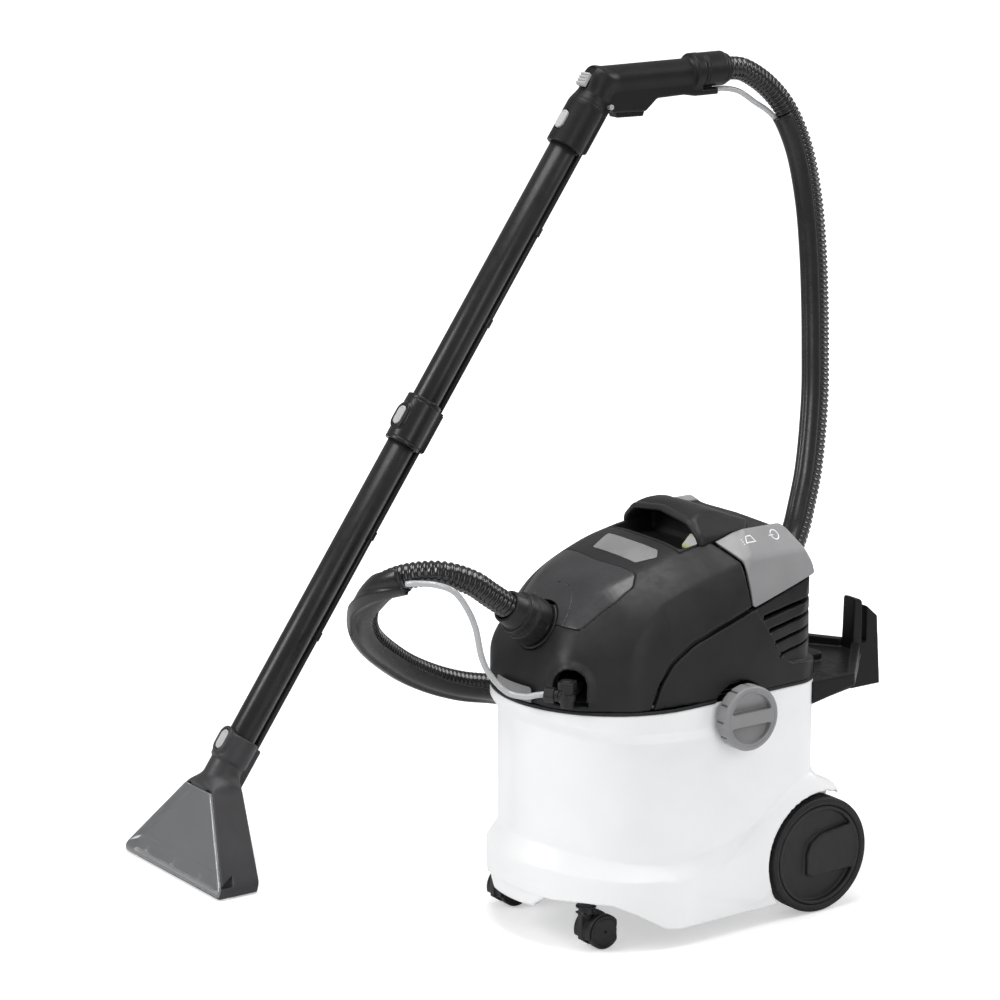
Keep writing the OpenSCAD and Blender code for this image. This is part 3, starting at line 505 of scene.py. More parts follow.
def run_jobs():
    def work(job):
        f, lo, hi, h, dense = job[4:9]
        steps = (h,) * 3 if np.isscalar(h) else h
        grid = [spacing(a, b, s, d) for a, b, s, d in zip(lo, hi, steps, dense)]
        return surface(f, *grid)

    order = sorted(range(len(jobs)), key=lambda n: -np.prod(np.subtract(jobs[n][6], jobs[n][5])))
    done = [None] * len(jobs)
    with ThreadPoolExecutor(WORKERS) as pool:
        for n, result in zip(order, pool.map(lambda n: work(jobs[n]), order)):
            done[n] = result
    for job, (verts, faces) in zip(jobs, done):
        add_mesh(*job[:4], verts, faces, job[9])


# plan of the container: a round front and two rounded rear corners
FRONT_Y, CORNER_X, CORNER_Y, FRONT_R, CORNER_R = -50.0, 93.0, 119.0, 142.0, 42.0
REACH = math.hypot(CORNER_X, CORNER_Y - FRONT_Y)
SLOPE = math.atan2(CORNER_Y - FRONT_Y, CORNER_X) - math.acos((FRONT_R - CORNER_R) / REACH)


def plan(x, y):
    u, v = np.abs(x), y - F32(FRONT_Y)
    nx, ny = math.cos(SLOPE), math.sin(SLOPE)
    side = u * F32(nx) + v * F32(ny) - F32(FRONT_R)
    run = v * F32(nx) - u * F32(ny)
    run_corner = (CORNER_Y - FRONT_Y) * nx - CORNER_X * ny
    d = both(side, y - F32(CORNER_Y + CORNER_R))
    d = np.where(run < 0, np.hypot(u, v) - F32(FRONT_R), d)
    corner = (run > run_corner) & (u > CORNER_X)
    return np.where(corner, np.hypot(u - F32(CORNER_X), y - F32(CORNER_Y)) - F32(CORNER_R), d)


SEAL_TOP, HEAD_BOTTOM, RIM_TOP = 284.5, 284.6, 281.0
WALL, FLOOR_TOP = 4.2, 92
AXLE_Y, AXLE_Z = 148.0, 69.5
KNOB_Y, KNOB_Z, KNOB_R = 28.0, 262.0, 37.0


def knots(v, pairs):
    return np.interp(v, [p[0] for p in pairs], [p[1] for p in pairs]).astype(F32)


def crease_top(y):
    return knots(y, [(-192, 122), (-134, 108), (-100, 100), (-70, 97), (-24, 102), (14, 111), (48, 120),
        (71, 133), (87, 146), (110, 160), (144, 168), (182, 140)])


def crease_low(y):
    return knots(y, [(-192, 94), (-126, 85), (-81, 83), (-63, 78), (-29, 82), (9, 87), (44, 96),
        (80, 112), (110, 132), (144, 144), (182, 118)])


def wall_step(y, z):
    """How far the wall stands inside the rim outline: the front is recessed below the band."""
    front = 1 - smooth(-75, 15, y)
    top = knots(y, [(-192, 274), (-170, 268), (-145, 261), (-30, 256)])
    ramp = np.clip((top - z) / 15, 0, 1)
    ramp = 0.5 * ramp + 0.5 * smooth(0, 1, ramp)
    return (1 + 8 * front) * ramp


def well(p, grow):
    x, y, z = p
    return both(disc(y, z, 76 + grow, AXLE_Y, AXLE_Z), F32(113 - grow) - np.abs(x))


SKIRT_FOOT = [(-200, 63), (-182, 58), (-161, 59), (-135, 57), (-110, 45), (-77, 25), (-62, 22), (90, 20)]


def container_field(p):
    x, y, z = p
    ax = np.abs(x)
    flat = plan(x, y)
    step = wall_step(y, z)
    top, low = crease_top(y), crease_low(y)
    e = np.clip((top - z) / (top - low), 0, 1)
    e = 0.85 * e + 0.15 * smooth(0, 1, e)
    skin = flat + step - e * (step + 4.5)
    d = rmax(skin, slab(z, 15, RIM_TOP), 1.2)
    d = rmax(d, knots(y, SKIRT_FOOT) - z, 1.0)
    d = np.where(z < 100, both(d, y - F32(92)), d)
    fender = planes(y, z, [(-40, 60), (60, 30), (176, 118), (184.5, 138), (184.5, 144), (179, 151.5),
        (142, 169), (110, 160), (70, 132), (40, 112)], 5)
    fender = rmax(fender, slab(ax, 108, 140.5), 3)
    slant = (ax - 133.5) * 0.86 + (z - top) * 0.5
    fender = rmax(fender, slant, 5)
    d = rmin(d, fender, 9)
    toe = poly(ax, z, [(-10, 44), (38, 44), (57, 60), (57, 74), (-10, 74)])
    toe = rmax(rmax(flat - 4, toe, 4), y + 160, 2)
    d = rmin(d, toe, 2)
    inner = flat + step + WALL
    lined = cut(inner, well(p, 3), 2)
    d = cut(d, rmax(lined, FLOOR_TOP - z, 1.5), 1.0)
    under = rmax(skin + WALL, np.abs(z - 48) - 40, 2)
    under = join(under, both(slab(ax, -1, 110), both(slab(y, 60, 200), z - 88)))
    blocks = disc(ax, y, 15, 88, -150)
    blocks = join(blocks, both(both(slab(ax, 88, 128), slab(y, 134, 162)), 57.5 - z))
    blocks = both(blocks, 53 - z)
    d = cut(d, cut(under, blocks, 2), 1.0)
    d = join(d, rmax(disc(y, z, 15, KNOB_Y, KNOB_Z), slab(ax, 126, 139.2), 0.5))
    d = cut(d, well(p, 0), 1.5)
    d = cut(d, both(disc(y, z, 8.1, KNOB_Y, KNOB_Z), slab(ax, 110, 180)))
    d = cut(d, both(disc(y, z, KNOB_R + 2.5, KNOB_Y, KNOB_Z), slab(ax, 139.2, 180)), 1.0)
    d = cut(d, both(disc(y, z, 5.1, AXLE_Y, AXLE_Z), slab(ax, 70, 125)))
    return cut(d, both(both(disc(ax, y, 9, 88, -150), slab(z, 40, 76)), skin + 2.2))


SHELL_SPLIT = 9.0


def container_wall(p):
    return both(container_field(p), -(plan(p[0], p[1]) + wall_step(p[1], p[2]) + SHELL_SPLIT))


def container_floor(p):
    return both(container_field(p), plan(p[0], p[1]) + wall_step(p[1], p[2]) + SHELL_SPLIT)


WALL_DENSE = ((), (), ((18, 130, 1.7), (232, 282, 1.5)))
solid(
    "container_wall", "base", "white_shell", container_wall,
    (-149, -199, 17), (149, 187, 283), (2.2, 2.2, 4.0), nodes=["container"], dense=WALL_DENSE,
)
solid(
    "container_floor", "base", "white_shell", container_floor,
    (-141, -190, 17), (141, 160, 283), (3.0, 3.0, 3.0), nodes=["container"],
)


def seal_field(p):
    x, y, z = p
    flat = plan(x, y)
    d = rmax(np.abs(flat + 1.2) - 1.8, slab(z, RIM_TOP, SEAL_TOP), 0.7)
    return cut(d, disc(y, z, KNOB_R + 3, KNOB_Y, KNOB_Z))


solid("rim_seal", "base", "black_seal", seal_field, (-144, -194, 279), (144, 163, 286), (1.3, 1.3, 0.6))


def tank(p, y0, y1):
    x, y, z = p
    skin = plan(x, y) + wall_step(y, join(z, 230)) + 6
    body = rmax(rmax(cut(skin, well(p, 4), 3), slab(y, y0, y1), 4), slab(z, 92.5, 236), 1.2)
    room = rmax(rmax(cut(skin + 2.5, well(p, 6.5), 3), slab(y, y0 + 2.5, y1 - 2.5), 3), 95.5 - z, 3)
    lip = rmax(rmax(skin, slab(y, y0, y1), 4), slab(z, 230, 236), 1)
    return cut(join(body, lip), room, 0.8)


solid(
    "dirty_water_tank", "base", "tank_grey", lambda p: tank(p, -30, 170),
    (-134, -33, 90), (134, 158, 238), (3, 3, 3),
)
solid(
    "fresh_water_tank", "base", "tank_clear", lambda p: tank(p, -220, -31),
    (-134, -190, 90), (134, -29, 238), (3, 3, 3),
)


def bracket_field(p):
    x, y, z = p
    ax = np.abs(x)
    shelf = rmax(poly(ax, y, [(-5, 142), (126, 142), (126, 204), (20, 308), (-5, 308)]),
        knots(y, [(140, 256), (206, 266), (308, 262)]) - 6 - z, 1.2)
    shelf = rmax(shelf, z - knots(y, [(140, 256), (206, 266), (308, 262)]), 1.2)
    side = poly(ax, y, fillet([(129, 141), (129, 207), (16, 309), (10, 300), (122, 203), (122, 165),
        (110, 165), (110, 141)], 1.5))
    side = rmax(side, poly(y, z, [(138, 250), (138, 278), (208, 279), (310, 272), (310, 244),
        (206, 263)]), 1.2)
    d = rmin(shelf, side, 1.5)
    d = rmin(d, brick(x, y, z, (-70, 150, 250), (70, 196, 284), 5), 3)
    d = rmin(d, brick(x, y, z, (-30, 196, 250), (30, 240, 276), 4), 3)
    d = join(d, rod(ax - 18, y - 205, z, 3, 270, 286, 0.8))
    d = cut(d, plan(x, y) - 0.4, 0)
    shape = fillet([(300, 214), (304, 327), (312, 325), (340, 300), (346, 214)], [1, 2, 3, 3, 1])
    tower = rmax(poly(y, z, shape), ax - 11, 1.6)
    d = rmin(d, tower, 1.0)
    slot = np.where(z > 272, np.abs(y - 319.5) - 3.5, disc(y, z, 3.5, 319.5, 272))
    return cut(d, slot, 1.2)


solid("rear_bracket", "base", "bracket_black", bracket_field, (-141, 139, 212), (141, 348, 329), 1.5)


def screw(name, body, at, z0, z1, r, room, z_room, nodes):
    """Round head with a cross slot; room is the half width of the box it is meshed in."""
    sx, sy = at

    def field(p):
        x, y = p[0] - F32(sx), p[1] - F32(sy)
        head = rmax(np.hypot(x, y) - r, slab(p[2], z0, z1), 0.8)
        ax, ay, arm = np.abs(x), np.abs(y), r * 0.6
        cross = join(both(ax - 0.6, ay - arm), both(ay - 0.6, ax - arm))
        return cut(head, both(cross, z1 - 1.2 - p[2]), 0.1)

    lo, hi = (sx - room, sy - room, z_room[0]), (sx + room, sy + room, z_room[1])
    solid(name, body, "steel", field, lo, hi, 0.35, nodes=nodes)


for tag, sx in (("a", -60.0), ("b", 60.0)):
    screw("bracket_screw_" + tag, "base", (sx, 190.0), 244, 247, 4.5, 6, (243, 248), ["bracket_screws"])


def axle_piece():
    r = 5.0
    half = 140.0
    prof = [(0.01, -half), (r - 1.2, -half), (r, -half + 1.2), (r, -half + 9), (r - 0.7, -half + 9.4),
        (r - 0.7, -half + 10.8), (r, -half + 11.2)]
    prof += [(a, -b) for a, b in prof[::-1]]
    v, f = lathe(prof, 48)
    v = v[:, [2, 0, 1]] + np.array([0, AXLE_Y, AXLE_Z])
    add_mesh("rear_axle", "base", ["rear_axle"], "steel", v, f)


axle_piece()


def tyre_field(p, s):
    x = p[0] * s
    rr = np.hypot(p[1] - F32(AXLE_Y), p[2] - F32(AXLE_Z))
    d = rmax(np.abs(rr - 64.75) - 4.75, slab(x, 116, 144), 4)
    groove = np.abs(rr - 66.2) - 0.6
    d = cut(d, rmax(groove, 143 - x, 0.2), 0.4)
    tread = np.abs(((x - 130) / 9 + 0.5) % 1 - 0.5) * 9 - 0.7
    return cut(d, both(tread, 68.8 - rr), 0.3)


def hub_field(p, s):
    x, y, z = p[0] * s, p[1] - F32(AXLE_Y), p[2] - F32(AXLE_Z)
    rr = np.hypot(y, z)
    d = rmax(rr - 59.9, slab(x, 116, 143), 1.5)
    dish = rmax(rr - 55.5, 135.8 - x, 2.5)
    d = cut(d, dish, 1.2)
    shape = fillet([(70, -24), (-8, -26), (-17, -22), (-17, 3), (-12, 15), (4, 25), (70, 34)],
        [0, 8, 5, 5, 5, 6, 0])
    grip = rmax(poly(y, z, shape), slab(x, 130, 142), 2.5)
    grip = rmax(grip, rr - 57, 1)
    d = rmin(d, grip, 2.5)
    d = cut(d, rmax(rmax(rr - 55, 14.5 - rr, 1), slab(x, 110, 130), 2), 1)
    boss = rmax(rr - 11, slab(x, 114, 131), 1)
    spokes = np.abs(turn(y, z, 6)) * rr - 1.6
    spokes = rmax(rmax(spokes, rr - 56, 0), slab(x, 118, 131), 0.5)
    d = join(join(d, boss), spokes)
    return cut(d, both(rr - 5.08, slab(x, 100, 140.1)))


TYRE_BOX = (113, AXLE_Y - 71, -1.5), (146, AXLE_Y + 71, 140.5)
HUB_BOX = (113, AXLE_Y - 62, AXLE_Z - 62), (146, AXLE_Y + 62, AXLE_Z + 62)
pair("rear_tyre_", "rear_wheel_", "tyre_black", tyre_field, *TYRE_BOX, 1.4)
pair("rear_hub_", "rear_wheel_", "hub_black", hub_field, *HUB_BOX, 1.2)

# casters: pivot, how far the rollers trail behind it, and their radius
CAST_X, CAST_Y, CAST_TRAIL, CAST_R = 88.0, -150.0, 17.0, 20.5
PIN_BORE = 3.08


def fork_field(p, s):
    x, y, z = p[0] - F32(s * CAST_X), p[1] - F32(CAST_Y), p[2]
    ax = np.abs(x)
    yy, zz = y - F32(CAST_TRAIL), z - F32(CAST_R)
    rr = np.hypot(yy, zz)
    d = rod(x, y, z, 5.5, 38, 74, 0.8)
    d = rmin(d, rod(x, y, z, 9, 44, 50.5, 1.0), 0.6)
    web = rmax(rr - 15, ax - 4, 0.8)
    web = join(web, brick(x, y, z, (-4, -9, 12.5), (4, 9, 44.5), 1))
    hood = rmax(np.abs(rr - 22.65) - 1.25, ax - 15, 1.0)
    hood = rmax(hood, yy + 1, 1.0)
    hood = rmax(hood, 14 - z, 1.0)
    d = rmin(rmin(d, web, 1.5), hood, 1.5)
    d = rmin(d, brick(x, y, z, (-4, -6, 14.5), (4, 6, 26.5), 1), 1)
    d = rmin(d, brick(x, y, z, (-9, -9, 42.5), (9, 9, 45), 1), 1.5)
    gap = both(np.abs(rr - 10.5) - 10.4, np.abs(ax - 9.8) - 5.3)
    d = cut(d, gap, 0)
    return cut(d, rr - PIN_BORE)


def roller_field(p, s, m):
    x, y, z = (p[0] - F32(s * CAST_X)) * m, p[1] - F32(CAST_Y + CAST_TRAIL), p[2] - F32(CAST_R)
    rr = np.hypot(y, z)
    d = rmax(rr - CAST_R, slab(x, 4.5, 15), 2.2)
    d = cut(d, rmax(np.abs(rr - 16.2) - 0.5, 14.2 - x, 0.1), 0.3)
    d = cut(d, rmax(rr - 14.5, 14.5 - x, 0.2), 0.4)
    return cut(d, both(rr - PIN_BORE, x - 14.2))


def sleeve_field(p, cx):
    x, y = p[0] - cx, p[1] - CAST_Y
    d = rmin(rod(x, y, p[2], 8.9, 51, 75, 0.8), rod(x, y, p[2], 12, 51, 52.9, 0.5), 0.4)
    return cut(d, np.hypot(x, y) - 5.58)


CASTER_PIN = [(0.01, -14), (2.2, -14), (3, -13.2), (3, 13.2), (2.2, 14), (0.01, 14)]
pair("caster_fork_", "caster_", "caster_black", fork_field, (CAST_X - 17, -175, -1),
    (CAST_X + 17, -112, 76), 0.8)
for side, s in SIDES:
    cx = s * CAST_X
    for tag, m in (("a", -1), ("b", 1)):
        x0, x1 = sorted((cx + m * 3, cx + m * 16.5))
        wheel = lambda p, s=s, m=m: roller_field(p, s, m)
        name, nodes = "caster_roller_%s_%s" % (side, tag), ["caster_wheels_" + side]
        solid(
            name, "caster_roll_" + side, "caster_black", wheel,
            (x0, -161, -1.5), (x1, -117, 42.5), 0.75, nodes=nodes,
        )
    sleeve = lambda p, cx=cx: sleeve_field(p, cx)
    solid(
        "caster_socket_" + side, "base", "hub_black", sleeve,
        (cx - 13, -170, 50), (cx + 13, -142, 76), 0.7, nodes=["caster_sockets"],
    )
    v, f = lathe(CASTER_PIN, 32)
    v = v[:, [2, 0, 1]] + np.array([cx, CAST_Y + CAST_TRAIL, CAST_R])
    pin = "caster_axle_" + side
    add_mesh(pin, "caster_" + side, [pin], "caster_black", v, f)

# ---------------------------------------------------------------- motor head

HEAD_SIDE = [(-194, 240), (166, 240), (166, 300), (163, 350), (156, 396), (145, 430), (130, 460),
    (118, 466), (30, 464), (0, 458), (-41, 449), (-98, 430), (-141, 402), (-176, 348), (-190, 318)]
HEAD_FRONT = [(-150, 240), (150, 240), (140, 330), (130, 392), (114, 436), (84, 463), (-84, 463),
    (-114, 436), (-130, 392), (-140, 330)]
DOME_Z = 283.0
DOME = [tuple(q) for q in curve([(-194, 94), (-165, 98), (-141, 113), (-98, 146), (-41, 168), (0, 177),
    (30, 182), (60, 191), (100, 216), (200, 216)], 10)]
VALLEY = [(0, 457), (60, 455), (72, 455.5), (84, 463), (110, 480)]
KEEP_SHARP = 2.5


def head_skin(p):
    """Outside of the whole head: crisp creases at the rear that soften towards the front."""
    x, y, z = p
    soft = knots(y, [(-60, 26), (-15, 12), (20, KEEP_SHARP), (200, KEEP_SHARP)])
    across = rmax(planes(x, z, HEAD_FRONT, soft), (z - knots(np.abs(x), VALLEY)) * 0.85, 1.5)
    length = planes(y, z, HEAD_SIDE, knots(y, [(-60, 22), (60, 12), (110, 4)]))
    dome = (np.hypot(x, z - F32(DOME_Z)) - knots(y, DOME)) * 0.85
    d = rmax(plan(x, y), length, knots(y, [(-60, 14), (100, 10), (130, 6)]))
    d = rmax(d, across, knots(y, [(-60, 20), (0, 8), (60, 3), (150, 3)]))
    return rmax(d, dome, knots(y, [(-60, 12), (20, 8), (60, 4)]))


FRONT_REGION = [(-230, 270), (-96, 270), (-93, 286), (-81, 314), (-62, 337), (-32, 355.5), (4, 368.5),
    (50, 383.5), (48, 432), (28, 456), (14, 458), (14, 500), (-230, 500)]
REAR_REGION = [(-92, 270), (-89, 284), (-77, 311), (-58.5, 333), (-30, 350.5), (6, 363.5), (50, 377.5),
    (200, 416.5), (200, 270)]
PANEL_REGION = [(52.6, 384), (52.6, 432), (31, 460), (31, 480), (200, 480), (200, 422), (56, 382.5)]
INLET_O = (0.0, -150.0, 362.0)
INLET_A = math.radians(57)
INLET_AXES = [(1, 0, 0), (0, math.cos(INLET_A), math.sin(INLET_A)),
    (0, -math.sin(INLET_A), math.cos(INLET_A))]
ELBOW_A, ELBOW_REACH, ELBOW_Z = math.radians(34), 151, 304.0
ELBOW_O = (ELBOW_REACH * math.sin(ELBOW_A), FRONT_Y - ELBOW_REACH * math.cos(ELBOW_A), ELBOW_Z)
ELBOW_AXES = [(math.cos(ELBOW_A), math.sin(ELBOW_A), 0), (-math.sin(ELBOW_A), math.cos(ELBOW_A), 0),
    (0, 0, 1)]


def bowl(y, z, g):
    return poly(y, z, fillet([(-8 + g, 480), (-8 + g, 440 + g), (10, 430 + g), (58 - g, 430 + g),
        (62 - g, 436 + g), (62 - g, 480)], [0, 6, 6, 4, 3, 0]))


def inset_outline(x, y, g):
    half = [(60, -158), (66, -139), (78, -104), (79, -80), (67, -68), (0, -74)]
    shape = fillet(half + [(-a, b) for a, b in half[-2::-1]], [4, 20, 16, 8, 8, 60, 8, 8, 16, 20, 4])
    return poly(x, y, shape) + F32(g)


def elbow_recess(p):
    u, v, w = local(p, ELBOW_O, ELBOW_AXES)
    arch = np.where(w > 9, np.hypot(u, w - 9) - 20, both(np.abs(u) - 20, -13.5 - w))
    return arch, v


LEDGE_IN, COVER_IN = 8.6, 11.6  # how far the front cover's ledge and its hollow lie inside the skin


def knob_bores(p, inner):
    """Bores for the two lock knobs, from inner outwards."""
    return both(disc(p[1], p[2], KNOB_R + 3, KNOB_Y, KNOB_Z), inner - np.abs(p[0]))


def front_cover_field(p):
    x, y, z = p
    skin = head_skin(p)
    shell = rmax(skin, HEAD_BOTTOM - z, 0.6)
    split = poly(y, z, fillet(FRONT_REGION, [0, 2, 30, 50, 60, 60, 60, 2, 4, 4, 4, 0, 0]))
    outer = rmax(shell, split, 1.0)
    ledge = rmax(rmax(shell + LEDGE_IN, split - 9, 1.0), HEAD_BOTTOM + 1 - z, 0)
    ledge = both(ledge, y - 52)
    d = join(outer, ledge)
    arch, depth = elbow_recess(p)
    collar = rmax((skin - np.clip((9 - arch) * 0.7, 0, 5.6)) * 0.9, rmax(arch - 9, depth - 30, 0), 0.5)
    d = rmin(d, rmax(collar, HEAD_BOTTOM + 12 - z, 1.0), 0.8)
    d = cut(d, rmax(skin + COVER_IN + np.clip(16 - arch, 0, 5), HEAD_BOTTOM - 3 - z, 0), 0)
    d = cut(d, knob_bores(p, 90), 1.0)
    u, v, w = local(p, INLET_O, INLET_AXES)
    d = cut(d, both(np.hypot(u, v) - 31, slab(w, -60, 70)), 2.0)
    d = cut(d, both(arch, depth - 40), 1.5)
    d = cut(d, rmax(both(inset_outline(x, y, 0), 371 - z), -(skin + 2.4), 0), 1.0)
    return cut(d, both(bowl(y, z, 0), slab(x, -70, 70)), 3.0)


solid("head_front_cover", "head", "head_black", front_cover_field, (-143, -194, 282), (143, 54, 463), 1.9)


def rear_cover_field(p):
    x, y, z = p
    ax = np.abs(x)
    skin = head_skin(p)
    split = poly(y, z, fillet(REAR_REGION, [0, 30, 50, 60, 60, 60, 30, 0, 0]))
    vent = poly(y, z, fillet([(55, 379), (80, 341), (92, 320), (106, 309), (190, 301), (190, 420)],
        [3, 20, 20, 12, 2, 2]))
    sunk = knots(y, [(60, 1.5), (110, 5.5), (150, 6.5)])
    skin = cut(skin, rmax(both(vent, 100 - ax), -(skin + sunk), 1.2), 1.0)
    d = rmax(rmax(skin, HEAD_BOTTOM - z, 0.6), split, 1.0)
    d = cut(d, head_skin(p) + 8.0 + sunk, 0)
    d = cut(d, knob_bores(p, 90), 1.0)
    for i in range(4):
        y0, z0 = 66 + 7 * i, 364 - 15.5 * i
        wide = 6.2 - 0.8 * i
        slit = poly(y, z, [(y0, z0), (y0 + 2, z0 + wide), (200, z0 + wide + 20), (200, z0 + 21)])
        d = cut(d, both(slit, 110 - ax), 1.0)
    return d


solid("head_rear_cover", "head", "head_black", rear_cover_field, (-143, -97, 282), (143, 168, 412), 1.8)


def spray_mark(u, v):
    """Generic sign: a spray fan with three drops."""
    fan = np.abs(poly(u, v, [(-5, -3), (2, -3), (5, 3.5), (-8, 3.5)])) - 0.45
    drops = join(np.hypot(u - 8, v - 3), join(np.hypot(u - 8, v), np.hypot(u - 8, v + 3))) - 0.6
    return join(fan, drops)


def suction_mark(u, v):
    """Generic sign: an open ring with a short bar."""
    rr = np.hypot(u, v)
    ring = both(np.abs(rr - 5) - 0.5, -(np.abs(v) - 1.2 + both(-u, 0)))
    return join(ring, both(np.abs(v) - 0.45, np.abs(u - 5) - 3.2))


def signs(x, y):
    return join(spray_mark(72 - y, x - 95), suction_mark(110 - y, x - 95))


def switch_field(p, s):
    x, y, z = p[0] * s, p[1], p[2]
    skin = head_skin(p)
    region = poly(y, z, fillet(PANEL_REGION, [3, 6, 2, 0, 0, 0, 3]))
    d = rmax(skin, rmax(region, 75.4 - x, 0.8), 1.0)
    d = cut(d, skin + 4.0)
    return cut(d, both(signs(x, y), -(skin + 0.7)), 0.0)


pair("switch_panel_", "switch_", "panel_grey", switch_field, (74, 29, 380), (141, 163, 465), 1.05)


def sign_field(p, s):
    return both(signs(p[0] * s, p[1]) - 0.12, np.abs(head_skin(p) + 0.35) - 0.45)


pair("panel_signs_", "switch_", "panel_grey", sign_field, (84, 60, 430), (106, 120, 466), 0.45,
    nodes=[], look="sign_white")


def top_cap_field(p):
    x, y, z = p
    skin = head_skin(p)
    zone = both(np.abs(x) - 74.4, 66.2 - y)
    zone = rmax(zone, knots(y, [(60, 432), (151, 411), (200, 410)]) - z, 1.0)
    d = rmax(skin, zone, 1.0)
    return cut(d, skin + 4.5, 1.0)


solid("top_cap", "head", "head_black", top_cap_field, (-76, 64, 405), (76, 166, 463), 1.3)


def handle_field(p):
    x, y, z = p
    ax = np.abs(x)
    outer = poly(ax, z, fillet([(-10, 430), (75, 430), (75, 457), (50, 479.5), (0, 486.5), (-10, 486.5)],
        [0, 0, 14, 20, 60, 0], 6))
    arch = poly(ax, z, fillet([(-10, 430), (75.4, 430), (75.4, 455), (54, 474), (0, 482), (-10, 482)],
        [0, 0, 16, 20, 60, 0], 6))
    tail = y - 84 - 38 * (1 - (ax / 74) ** 2)
    length = poly(y, z, fillet([(24, 430), (20, 462), (23, 475), (42, 486), (76, 472), (106, 461.5),
        (126, 454), (126, 430)], [0, 6, 4, 20, 20, 10, 1, 0], 5))
    d = rmax(rmax(outer, length, 4), tail * 0.7, 1.0)
    rim = rmax(rmax(np.abs(arch + 4.6) - 4.6, 440 - z, 0), slab(y + (z - 482) * 0.10, 14.5, 25), 4.5)
    d = rmin(d, rim, 1.5)
    hole = poly(ax, z, fillet([(-10, 420), (65, 420), (65, 453), (49, 467), (0, 473), (-10, 473)],
        [0, 0, 12, 20, 60, 0], 6))
    d = cut(d, both(hole, y - 61), 3)
    return cut(d, head_skin(p) - 0.15, 0)


solid("carry_handle", "head", "head_black", handle_field, (-77, 12, 436), (77, 124, 489.5), 1.1)


def bowl_field(p):
    x, y, z = p
    skin = head_skin(p)
    d = rmax(both(bowl(y, z, 0.4), slab(x, -69.6, 69.6)), skin + 0.5, 1.5)
    room = rmax(bowl(y, z, 3.4), slab(x, -66.4, 66.4), 6)
    d = cut(d, room, 1.5)
    return cut(d, brick(x, y, z, (18, 34, 420), (44, 50, 450), 0.5))


solid("hand_recess", "head", "head_black", bowl_field, (-72, -10, 428), (72, 64, 463), 1.2)


def tab_field(p):
    x, y, z = p
    wedge = poly(y, z, [(34.4, 428), (49.6, 428), (49.6, 447), (46, 447), (34.4, 436)])
    return rmax(wedge, slab(x, 18.4, 43.6), 1.2)


def tab_face_field(p):
    x, y, z = p
    along, out = (y - 34.4) * 0.726 + (z - 436) * 0.688, (z - 436) * 0.726 - (y - 34.4) * 0.688
    return rmax(rmax(slab(along, 2.2, 14), slab(x, 20.6, 41.4), 1.5), slab(out, -0.6, 0.5), 0.3)


solid("release_tab", "tab", "tab_lime", tab_field, (17, 33, 427), (45, 51, 448.5), 0.6)
solid(
    "release_tab_face", "tab", "tab_lime", tab_face_field,
    (19, 33, 434), (43, 49, 449), 0.5, nodes=[], look="sign_white",
)

BADGE = [(-32, -56), (-46, -24), (50, -24), (62, -34), (50, -56)]


def badge_field(p):
    shape = poly(p[0], p[1], fillet(BADGE, [3, 3, 6, 4, 3]))
    skin = head_skin(p)
    d = rmax(shape, np.abs(skin - 0.7) - 1.0, 0.6)
    frame_line = np.abs(shape + 2.4) - 0.4
    return cut(d, both(frame_line, 1.3 - skin), 0.1)


solid("badge_plate", "head", "badge_grey", badge_field, (-48, -58, 420), (64, -22, 458), 0.7)


def label_field(p):
    x, y, z = p
    shape = poly(x, z, fillet([(-34, 286.5), (33, 286.5), (33, 304.5), (-34, 304.5)], [1, 1, 4, 4]))
    d = rmax(both(shape, y + 100), np.abs(plan(x, y) - 0.45) - 0.55, 0.3)
    line = both(np.abs(shape + 2.0) - 0.3, 0.7 - plan(x, y))
    return cut(d, line, 0.05)


solid("front_label", "head", "badge_grey", label_field, (-36, -194, 285), (35, -182, 307), 0.55)


def inset_field(p):
    x, y, z = p
    skin = head_skin(p)
    d = rmax(both(inset_outline(x, y, 0.4), 372 - z), np.abs(skin + 2.0) - 1.7, 0.8)
    u, v, w = local(p, INLET_O, INLET_AXES)
    seam = np.abs(np.hypot(x, (y + 162)) - 44) - 0.5
    d = cut(d, both(seam, -(skin + 1.3)), 0.2)
    d = cut(d, both(np.hypot(u, v) - 31.4, slab(w, -60, 70)), 0.6)
    return cut(d, both(bowl(y, z, 0), slab(x, -70, 70)))


solid("inset_panel", "head", "inset_grey", inset_field, (-81, -162, 370), (81, -57, 442), 1.0)


def socket_field(p):
    u, v, w = local(p, INLET_O, INLET_AXES)
    rr = np.hypot(u, v)
    d = rmax(rr - 30.8, slab(w, -34, 10), 1.5)
    d = cut(d, both(rr - 20, slab(w, -36, -20)))
    return cut(d, both(rr - 25.1, slab(w, -26, 20)), 0.8)


solid("inlet_socket", "head", "inlet_black", socket_field, (-33, -186, 315), (33, -102, 390), 1.0)


def elbow_field(p):
    u, v, w = local(p, ELBOW_O, ELBOW_AXES)
    d = rod(u, v, w, 8, -12, 11, 1.0)
    d = rmin(d, rod(u, v, w, 9.6, -4, 4, 0.8), 0.5)
    d = rmin(d, rmax(brick(u, v, w, (-9.5, -9.5, 9), (9.5, 9.5, 18), 1.5), np.hypot(u, v) - 11.5, 1.0),
        0.8)
    d = rmin(d, rod(u, v, w, 5.5, 17, 19.6, 0.8), 0.5)
    d = rmin(d, rod(u, w - 2, v, 6.5, -4, 40, 0.8), 1.0)
    d = rmin(d, rod(v, w, u, 5, -24, 4, 0.6), 1.0)
    return rmin(d, rod(v, w, u, 8, -8.5, -5.5, 0.6), 0.4)


solid("spray_elbow", "head", "inlet_black", elbow_field, (48, -200, 290), (118, -128, 326), 0.6)


